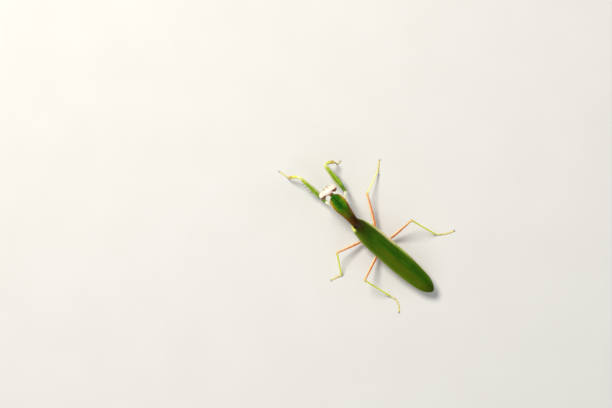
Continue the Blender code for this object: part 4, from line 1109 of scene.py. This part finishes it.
def raptorial_leg(side, coxa, femur, tibia, toe, bow):
    """One leg, with the heading and pitch of each part and the place of its toe."""
    root = Vector(FORE_ROOTS[side])
    coxa_way, femur_way, tibia_way = way(*coxa), way(*femur), way(*tibia)
    hip = root + coxa_way * FORE_COXA
    knee = hip + femur_way * FORE_FEMUR
    ankle = knee + tibia_way * FORE_TIBIA
    ventral = (tibia_way - femur_way * tibia_way.dot(femur_way)).normalized()

    # Coxa
    bm = bmesh.new()
    coxa_place = standing(MIDLINE + root * MM, coxa_way, -femur_way)
    stout = ((0, 1.0), (0.25, 1.12), (0.8, 0.8), (1, 0.7))
    coxa_length, half, above, below = FORE_COXA + 0.45, 0.95, 1.0, 1.25
    sleeve(bm, coxa_place, straight(coxa_length), tapered(stout, half, above, below), 70, 40, blunt=12,
           relief=lambda t, turn, point: (0.1 * max(0.0, math.cos(6 * math.pi * (turn - 0.5))) ** 5 - 0.05
                                          - 0.1 * bell(t, 0.955, 0.012)))
    dress(made(f"fore_{side}_coxa", bm, pale_horn), "fore_pale", f"fore_coxa_{side}")
    beads = []
    for i in range(15):
        t = 0.1 + 0.8 * i / 14
        spread = half * eased(stout, t)
        for sign in (1, -1):
            spot = (coxa_length * t, sign * spread * 0.78, -below * eased(stout, t) * 0.52)
            beads.append(spine_on(coxa_place, spot, (0.5, sign * 0.9, -0.7), 0.34 if i % 3 else 0.55))
    dress(studs(f"fore_{side}_coxa_teeth", beads, comb_horn, 0.3, 0.2, 7), "fore_pale")

    # Knuckle and femur
    knuckle_place = standing(MIDLINE + hip * MM, femur_way, -ventral)
    first = clear_of(0.75, 0.95, coxa_way, femur_way) + 1.3
    length = FORE_FEMUR + 0.35 - first

    def femur_line(t):
        return Vector((first + length * t, 0, 0.35 * math.sin(math.pi * t)))

    def femur_size(t):
        depth = 3.3 * eased(FEMUR_DEPTHS, t)
        return eased(FEMUR_THICK, t), depth * 0.45, depth * 0.55

    def femur_relief(t, turn, point):
        flank = abs(math.sin(2 * math.pi * turn))
        below = -math.cos(2 * math.pi * turn)
        lift = -0.1 * bell(below, -0.45, 0.13) * (0.1 < t < 0.92) + 0.05 * bell(below, 0.3, 0.25)
        lift -= 0.3 * bell(turn, 0.5, 0.035) * min(1.0, t * 6) + 0.1 * bell(t, 0.955, 0.01)
        lift -= 0.28 * bell(turn, 0.56, 0.05) * bell(t, 0.36, 0.045)
        return lift + 0.12 * bell(t, 0.975, 0.02) * flank

    bm = bmesh.new()
    sleeve(bm, knuckle_place,
           lambda t: Vector((-0.55 + (first + 1.05) * t, 0, 0.05 * math.sin(math.pi * t))),
           tapered(((0, 0.72), (0.4, 0.92), (0.75, 1.1), (1, 1.1)), 0.82, 0.92, 1.08),
           34, 36, blunt=6, finish=1, relief=lambda t, turn, point: -0.1 * bell(t, 0.66, 0.04))
    sleeve(bm, knuckle_place, femur_line, femur_size, 130, 64, blunt=16, square=2.25, relief=femur_relief)
    thigh = made(f"fore_{side}_femur", bm, leaf_horn, knuckle_horn)
    dress(thigh, "fore_green", f"fore_femur_{side}", f"fore_trochanter_{side}")

    # The spines: the inner row, the four of the outer row and the four long ones between them
    spines = []
    for row, count, start, end, sizes, spread in (
            (-1, 15, 0.14, 0.86, (0.75, 1.35), 0.42), (1, 4, 0.3, 0.78, (1.75, 1.75), 0.5),
            (0.2, 4, 0.2, 0.36, (1.3, 1.9), 0.1)):
        for i in range(count):
            t = start + (end - start) * (i + 0.5) / count
            width, _, down = femur_size(t)
            spines.append(spine_on(
                knuckle_place, femur_line(t) + Vector((0, row * width * 0.5, -down * 0.74)),
                (0.32, row * spread, -1.0), sizes[i % 2] * (1.1 - 0.35 * t) + down * 0.22))
    for sign in (1, -1):
        spines.append(spine_on(knuckle_place, (first + length * 0.965, sign * 0.6, -0.45),
                               (0.9, sign * 0.5, -0.6), 0.8))
    dress(studs(f"fore_{side}_femur_spines", spines, grasping_horn, 0.17, 0.18, 10), "fore_green")

    # Tibia, its claw and the foot
    inward = -(femur_way - tibia_way * tibia_way.dot(femur_way)).normalized()
    shin_place = standing(MIDLINE + knee * MM, tibia_way, -inward)
    bm = bmesh.new()
    sleeve(bm, shin_place,
           lambda t: Vector((-0.1 + (FORE_TIBIA + 0.1) * t, 0, SHIN_ARCH * math.sin(math.pi * t))),
           tapered(((0, 0.84), (0.08, 1.0), (0.3, 0.95), (0.7, 0.84), (1, 0.76)), 0.66, 0.73, 0.75),
           70, 36, blunt=14, square=2.2,
           relief=lambda t, turn, point: (0.05 * bell(abs(turn - 0.5), 0.12, 0.04)
                                          - 0.08 * bell(t, 0.07, 0.012)))
    claw = hooked(Vector((FORE_TIBIA - 1.2, 0, 0.05)), Vector((FORE_TIBIA + 1.5, 0, -0.35)),
                  Vector((FORE_TIBIA + 1.25, 0, -2.65)))
    sleeve(bm, shin_place, claw, lambda t: [size * (1.03 - t) ** 0.8 for size in (0.36, 0.44, 0.44)],
           44, 20, blunt=20, finish=1)
    foot(bm, ankle, Vector((*toe, 0)), 0.25, bow, (2, 3))
    shank = made(f"fore_{side}_shank", bm, fore_tibia_horn, hook_horn, fore_foot_horn, claw_horn)
    dress(shank, "fore_pale", f"fore_tibia_{side}", f"fore_tarsus_{side}")
    comb = []
    for row, count in ((-1, 13), (1, 10)):
        for i in range(count):
            t = 0.1 + 0.78 * (i + 0.5) / count
            spot = (FORE_TIBIA * t, row * 0.33, SHIN_ARCH * math.sin(math.pi * t) - 0.4)
            comb.append(spine_on(shin_place, spot, (0.62, row * 0.3, -1.0), 0.75 + 0.75 * t))
    dress(studs(f"fore_{side}_tibia_spines", comb, comb_horn, 0.15, 0.2, 8), "fore_pale")
    dress(bristles(f"fore_{side}_bristles",
                   lambda t: knee.lerp(ankle, t) - inward * (0.5 * math.sin(math.pi * t)),
                   lambda t: 0.62 - 0.12 * t, 110, 40 + len(side), 0.2), "fore_pale")


raptorial_leg("right", (-149.1, -61.4), (-99.1, 24.1), (153.7, -54.5), (-18.0, -39.0), -1.3)
raptorial_leg("left", (-81.7, -58.4), (-92.0, 15.9), (-49.9, -51.2), (5.3, -57.9), 0)


# The hindwings: two thin smoky membranes folded like fans along their length under the fore wings,
# which hide all but their edges. They hang on the thorax.
WING_BASE, WING_LENGTH = -13.9, 50.1
FILM_BASE, FILM_LENGTH, FILM_DEPTH = -10.9, 43.0, 1.62
WING_WIDTHS = ((-13.9, 2.75), (-11.9, 3.65), (-7, 4.7), (-2.7, 5.25), (4, 5.32), (14, 5.45), (20, 5.15),
               (25, 4.75), (30, 4.1), (33, 3.1), (35, 1.9), (36.2, 0.6))
WING_RIDGE = ((-14.2, 12.1), (-10, 12.6), (5, 12.1), (20, 10.6), (36.2, 8.1))
WING_DROOP = ((-14.2, 1.5), (-5, 2.4), (15, 2.0), (36.2, 0.3))
WING_INNER = ((-13.9, 2.45), (-12.6, 2.2), (-11, 0.3), (-8.5, -1.1), (0, -1.2), (25, -1.2), (31, -0.9),
              (36.2, 0.1))


def back_height(x, y):
    """Height of the wings' upper side at a distance from the midline."""
    return eased(WING_RIDGE, y) - eased(WING_DROOP, y) * abs(x / eased(WING_WIDTHS, y)) ** 2.2


def membrane(name, surface, across, along, thickness, finish):
    """A wing blade: a sheet over surface(u, v), in millimetres, given its thickness downwards."""
    bm = bmesh.new()
    uv = bm.loops.layers.uv.verify()
    grid = [[bm.verts.new(MIDLINE + surface(i / across, j / along) * MM) for i in range(across + 1)]
            for j in range(along + 1)]
    for j in range(along):
        for i in range(across):
            spots = ((i, j), (i + 1, j), (i + 1, j + 1), (i, j + 1))
            leaf = bm.faces.new([grid[b][a] for a, b in spots])
            leaf.smooth = True
            for loop, (a, b) in zip(leaf.loops, spots):
                loop[uv].uv = (a / across, b / along)
    bm.normal_update()
    if sum(leaf.normal.z for leaf in bm.faces) < 0:
        bmesh.ops.reverse_faces(bm, faces=bm.faces)
    mesh = bpy.data.meshes.new(name)
    bm.to_mesh(mesh)
    bm.free()
    mesh.materials.append(finish)
    sheet = placed(name + "_sheet", mesh)
    solid = sheet.modifiers.new("thickness", "SOLIDIFY")
    solid.thickness, solid.offset, solid.use_even_offset = thickness * MM, -1, False
    return finished(name, sheet)


def cell_edges(recipe, spot, scale):
    """Distance to the nearest edge of a net of cells."""
    return recipe.node("ShaderNodeTexVoronoi", {"feature": "DISTANCE_TO_EDGE"},
                       {"Vector": spot, "Scale": scale})["Distance"]


smoky_film, recipe = new_finish("smoky_film")
lines = recipe.step(cell_edges(recipe, recipe.place, 1.1), 0.02, 0.08)
recipe.surface({"Base Color": recipe.mix(lines, tint(122, 88, 36), tint(206, 188, 132)),
                "Roughness": 0.3 + 0.2 * lines, "Normal": recipe.bump(0.5, 0.02, 1 - lines)})
for side, sign in SIDES:
    def pleated(u, v):
        y = FILM_BASE + FILM_LENGTH * v
        x = 0.2 + (eased(WING_WIDTHS, y) * 0.84 - 0.2) * u
        fold = 0.11 * (abs((u * 9) % 2 - 1) - 0.5)
        return Vector((sign * x, y, back_height(x, y) - FILM_DEPTH + fold))

    film = membrane("hindwing_film_" + side, pleated, 72, 90, 0.14, smoky_film)
    dress(film, "hindwing", "hindwing_" + side)


# The tegmina: leathery fore wings, green with a browner middle and a pale front margin, partly a painted
# highlight, stiffened by raised lengthwise veins with a net of small ones between. The left lies over the
# right.
LONG_VEINS = {
    "subcosta": (0.075, ((0, 0.6), (0.1, 0.8), (0.3, 0.87), (0.6, 0.905), (0.85, 0.955), (0.965, 0.995))),
    "radius": (0.13, ((0, 0.54), (0.1, 0.71), (0.3, 0.785), (0.6, 0.825), (0.85, 0.875), (0.985, 0.95))),
    "media": (0.09, ((0.02, 0.5), (0.1, 0.62), (0.3, 0.685), (0.6, 0.715), (0.85, 0.75), (1, 0.8))),
    "media_branch": (0.065, ((0.2, 0.665), (0.32, 0.635), (0.6, 0.63), (0.85, 0.64), (1, 0.66))),
    "cubitus": (0.1, ((0, 0.46), (0.1, 0.54), (0.3, 0.56), (0.6, 0.54), (0.85, 0.53), (1, 0.5))),
    "cubitus_branch": (0.065, ((0.24, 0.555), (0.4, 0.485), (0.65, 0.44), (0.85, 0.41), (1, 0.36))),
    "cubitus_twig": (0.06, ((0.36, 0.5), (0.5, 0.4), (0.7, 0.33), (1, 0.2))),
    "claval": (0.1, ((0, 0.4), (0.1, 0.43), (0.25, 0.4), (0.4, 0.3), (0.52, 0.17), (0.6, 0.03))),
    "anal": (0.06, ((0, 0.32), (0.1, 0.32), (0.22, 0.24), (0.34, 0.08))),
    "jugal": (0.05, ((0, 0.2), (0.08, 0.2), (0.16, 0.12), (0.2, 0.03))),
}
RUNGS = 112

# A rib of round section runs along every edge line, as thick as its reach.
vein_rule, given = growth_rule("vein_rule", (("Sides", "Int"), ("Material", "Material")))
line = vein_rule.node("GeometryNodeMeshToCurve", {}, {"Mesh": given["Geometry"]})["Curve"]
line = vein_rule.node("GeometryNodeSetCurveRadius", {}, {
    "Curve": line, "Radius": held(vein_rule, "reach", "FLOAT")})["Curve"]
profile = vein_rule.node("GeometryNodeCurvePrimitiveCircle", {}, {
    "Resolution": given["Sides"], "Radius": 1.0})["Curve"]
rib = vein_rule.node("GeometryNodeCurveToMesh", {}, {
    "Curve": line, "Profile Curve": profile, "Scale": vein_rule.node("GeometryNodeInputRadius")["Radius"],
    "Fill Caps": True})["Mesh"]
finish_rule(vein_rule, smoothed(vein_rule, rib), given["Material"])


def veins(name, lines, finish, sides=6):
    """Raised veins along lines of (point, radius in millimetres), as one piece."""
    points, edges, radii = [], [], []
    for path in lines:
        first = len(points)
        points += [tuple(MIDLINE + spot * MM) for spot, _ in path]
        radii += [size * MM for _, size in path]
        edges += [(first + i, first + i + 1) for i in range(len(path) - 1)]
    base = bpy.data.meshes.new(name)
    base.from_pydata(points, edges, [])
    base.attributes.new("reach", "FLOAT", "POINT").data.foreach_set("value", radii)
    return grown(name, base, vein_rule, {"Sides": sides, "Material": finish})


def shoulder_highlight(recipe, x, y):
    """1 over the root of the left wing, where a highlight is painted."""
    return recipe.step(x, 1.9, 2.7) * (1 - recipe.step(y, -12.2, -10.6))


def leaf_colour(recipe):
    """The fore wings' colour from their place: green, browner in front, with pale front margins, partly
    painted highlight, and a painted highlight on the left wing's root.
    """
    spot = recipe.axes(recipe.place)
    x, y = spot["X"], spot["Y"]
    across = recipe.axes(recipe.node("ShaderNodeUVMap")["UV"])["X"]
    cloud = recipe.noise(1.5, recipe.vector("MULTIPLY", recipe.place, (1.0, 0.22, 1.0))["Vector"], 4.0) - 0.5
    patchy = recipe.step(cloud, -0.14, 0.18)
    green = recipe.mix(recipe.step(y + 4 * cloud, -10.0, 5.0),
                       recipe.mix(patchy, tint(26, 54, 0), tint(46, 72, 0)),
                       recipe.mix(patchy, tint(24, 74, 0), tint(48, 92, 0)))
    left = recipe.step(x + 0.8 * cloud, -1.0, 3.2) * recipe.step(y, -4.0, 8.0)
    green = recipe.mix(0.6 * left, green, tint(86, 108, 0))
    centre = (1 - recipe.step(abs(x - 1.3) + 1.8 * cloud, 0.4, 2.2)) * recipe.step(y, -2.0, 8.0)
    green = recipe.mix(0.42 * centre, green, tint(84, 80, 0))
    front = 1 - recipe.step(y + 3 * cloud + abs(x), -12.0, -6.0)
    green = recipe.mix(0.95 * front, green, tint(42, 28, 0))
    green = recipe.mix(0.7 * recipe.step(y, 28.5, 35.0), green, tint(34, 42, 0))

    # The strip along the front edge: broad and cream on the right wing, narrow and green on the left. The
    # right wing's cream is its pale margin with a painted highlight on it.
    on_left = recipe.step(x, -1.0, 1.0)
    ends = recipe.step(abs(y - 1.0) + 4 * cloud, 3.0, 9.0)
    cream = recipe.mix(ends, tint(218, 204, 142), tint(156, 174, 66))
    on_right = (recipe.step(across + 0.06 * cloud, 0.77, 0.94)
                * (1 - 0.8 * recipe.step(y + 4 * cloud, 12.0, 21.0))
                * (0.45 + 0.55 * recipe.step(y, -12.5, -7.0)))
    band = 0.62 * recipe.step(across + 0.12 * cloud, 0.4, 0.9) * (1 - recipe.step(y + 3 * cloud, -9.5, 1.0))
    edge = 0.75 * recipe.step(across + 0.06 * cloud, 0.82, 0.93) * (1 - recipe.step(y, 20.0, 30.0))
    green = recipe.mix(on_right * (1 - on_left), green, cream)
    green = recipe.mix(band * on_left, green, tint(124, 150, 30))
    green = recipe.mix(edge * on_left, green, tint(116, 132, 44))
    # A painted highlight in pale yellow on the left wing's root.
    return recipe.mix(shoulder_highlight(recipe, x + cloud, y + cloud), green, tint(238, 240, 124))


tegmen_skin, recipe = new_finish("tegmen_skin")
net_place = recipe.vector("MULTIPLY", recipe.place, (1.0, 0.62, 1.0))["Vector"]
net = 1 - recipe.step(cell_edges(recipe, net_place, 2.9), 0.03, 0.13)
grain = recipe.noise(0.12, recipe.place)
skin = recipe.node("ShaderNodeHueSaturation", {}, {
    "Color": leaf_colour(recipe), "Saturation": 1.0, "Value": 0.86 + 0.14 * grain + 0.2 * net})["Color"]
recipe.surface({"Base Color": skin, "Roughness": 0.46 + 0.14 * grain - 0.08 * net,
                "Normal": recipe.bump(0.7, 0.03, net + 0.25 * grain), "Specular IOR Level": 0.04})

vein_skin, recipe = new_finish("vein_skin")
spot = recipe.axes(recipe.place)
grain = recipe.noise(0.8, recipe.place)
vein_green = recipe.mix(grain, tint(50, 82, 0), tint(86, 106, 6))
vein_green = recipe.mix(0.85 * (1 - recipe.step(spot["Y"], -11.0, -2.0)), vein_green, tint(48, 42, 0))
# The same painted highlight on the veins of the left wing's root.
vein_green = recipe.mix(shoulder_highlight(recipe, spot["X"], spot["Y"]), vein_green, tint(226, 230, 112))
recipe.surface({"Base Color": vein_green, "Roughness": 0.4 + 0.15 * grain, "Specular IOR Level": 0.12})

# The margin veins: cream on the right wing, partly a painted highlight, and cream on the left wing's root,
# the painted shoulder highlight; plainer green on the rest of the left wing.
margin_skin, recipe = new_finish("margin_skin")
spot = recipe.axes(recipe.place)
grain = recipe.noise(0.9, recipe.place)
cream = recipe.mix(grain, tint(184, 182, 108), tint(206, 202, 138))
cream = recipe.mix(recipe.step(spot["Y"] + 4 * grain, 14.0, 18.0), cream, tint(196, 150, 56))
cream = recipe.mix(recipe.step(spot["Y"] + 4 * grain, 21.0, 26.0), cream, tint(176, 176, 30))
cream = recipe.mix(recipe.step(spot["Y"], 26.0, 33.0), cream, tint(70, 66, 20))
plain = recipe.mix(recipe.step(spot["Y"] + 5 * grain, 8.0, 18.0), tint(124, 136, 44), tint(142, 138, 24))
duller = recipe.step(spot["X"], -0.5, 0.5) * recipe.step(spot["Y"], -12.4, -11.0)
recipe.surface({"Base Color": recipe.mix(duller, cream, plain), "Roughness": 0.45 + 0.15 * grain,
                "Specular IOR Level": 0.2})

for side, sign in SIDES:
    def blade(u, v):
        y = WING_BASE + WING_LENGTH * v
        inner, outer = eased(WING_INNER, y), eased(WING_WIDTHS, y)
        x = inner + (outer - inner) * u
        lower = 0.0 if sign > 0 else 0.7 * eased(((0, 1), (0.35, 1), (1, 0)), abs(x) / outer)
        swell = 0.07 * math.sin(math.pi * u) ** 2 * math.sin(math.pi * min(v * 3, 0.5))
        return Vector((sign * x, y, back_height(x, y) - lower - 0.06 - swell * 0.5))

    dress(membrane("tegmen_blade_" + side, blade, 60, 240, 0.2, tegmen_skin), "tegmen", "tegmen_" + side)

    # The long veins, sunk a little in the blade and finer towards its tip
    lines = []
    for size, route in LONG_VEINS.values():
        start, end = route[0][0], route[-1][0]
        count = max(12, int(120 * (end - start)))
        path = []
        for i in range(count + 1):
            v = start + (end - start) * i / count
            spot = blade(min(max(eased(route, v), 0), 1), v)
            path.append((spot + Vector((0, 0, -0.3 * size)), size * (1 - 0.55 * i / count)))
        lines.append(path)

    # The net of small veins between each two long ones
    chance = random.Random(7 + sign)
    routes = [((0, 0.0), (1, 0.0))] + [route for _, route in LONG_VEINS.values()] + [((0, 1.0), (1, 1.0))]
    for rung in range(RUNGS):
        v = 0.015 + 0.97 * rung / RUNGS
        crossed = sorted(eased(route, v) for route in routes if route[0][0] <= v <= route[-1][0])
        for low, high in zip(crossed, crossed[1:]):
            if high - low < 0.018 or chance.random() < 0.12:
                continue
            v0, v1 = v + chance.uniform(-0.004, 0.004), v + chance.uniform(0.0, 0.009)
            bend = chance.uniform(-0.003, 0.003)
            spots = [(low + (high - low) * s, min(v0 + (v1 - v0) * s + bend * math.sin(math.pi * s), 1))
                     for s in (0, 0.25, 0.5, 0.75, 1)]
            lines.append([(blade(*spot) + Vector((0, 0, -0.012)), 0.034) for spot in spots])
    dress(veins("tegmen_veins_" + side, lines, vein_skin), "tegmen")
    margin = [(blade(1.0, j / 160) + Vector((-0.04 * sign, 0, -0.04)), 0.15 * (1 - 0.4 * j / 160))
              for j in range(161)]
    dress(veins("tegmen_margin_" + side, [margin], margin_skin, 10), "tegmen")


# The tail: two ringed, bristly cerci at the abdomen's end, with the last back plate above them,
# the boat-shaped plate below and the soft valves between, all of the abdomen's own skin.
CERCUS_LENGTH = 3.6
for side, sign in SIDES:
    root = Vector((sign * 1.75, ABDOMEN_END - 0.3, 5.4))
    onward = way(90 - sign * 14, 4)
    route = [MIDLINE + (root + onward * (CERCUS_LENGTH * i / 10 - 0.15)) * MM for i in range(11)]
    cercus = jointed("cercus_rings_" + side, route, 12, 0.42, 0.22, 0.7, palp_horn, 18, 1.1)
    dress(cercus, "cercus", "cercus_" + side)
    dress(bristles("cercus_bristles_" + side, lambda t: root + onward * (3.4 * t), lambda t: 0.38 - 0.18 * t,
                   150, 90 + sign, 0.5), "cercus")
bm = bmesh.new()
sleeve(bm, standing(at(0, ABDOMEN_END - 2.2, 2.4), way(90, 8), UP), straight(4.6),
       lambda t: (1.7 * (1 - 0.45 * t), 0.4, 0.85), 40, 44, blunt=6,
       relief=lambda t, turn, point: 0.06 * bell(turn, 0.5, 0.03) - 0.05 * bell(t, 0.2, 0.02))
sleeve(bm, standing(at(0, ABDOMEN_END - 1.0, 5.6), way(90, -6), UP), straight(2.6),
       lambda t: (1.3 * (1 - 0.5 * t), 0.28, 0.28), 30, 36, blunt=5,
       relief=lambda t, turn, point: 0.05 * bell(point.y, 0, 0.1))
sleeve(bm, standing(at(0, ABDOMEN_END - 2.4, 3.3), way(90, -9), UP), straight(3.9),
       lambda t: (1.3 * (1 - 0.4 * t), 0.75, 0.6), 30, 36, blunt=6,
       relief=lambda t, turn, point: -0.12 * bell(point.y, 0, 0.12))
dress(made("tail_plates", bm, trunk_skin), "trunk", "subgenital_plate")
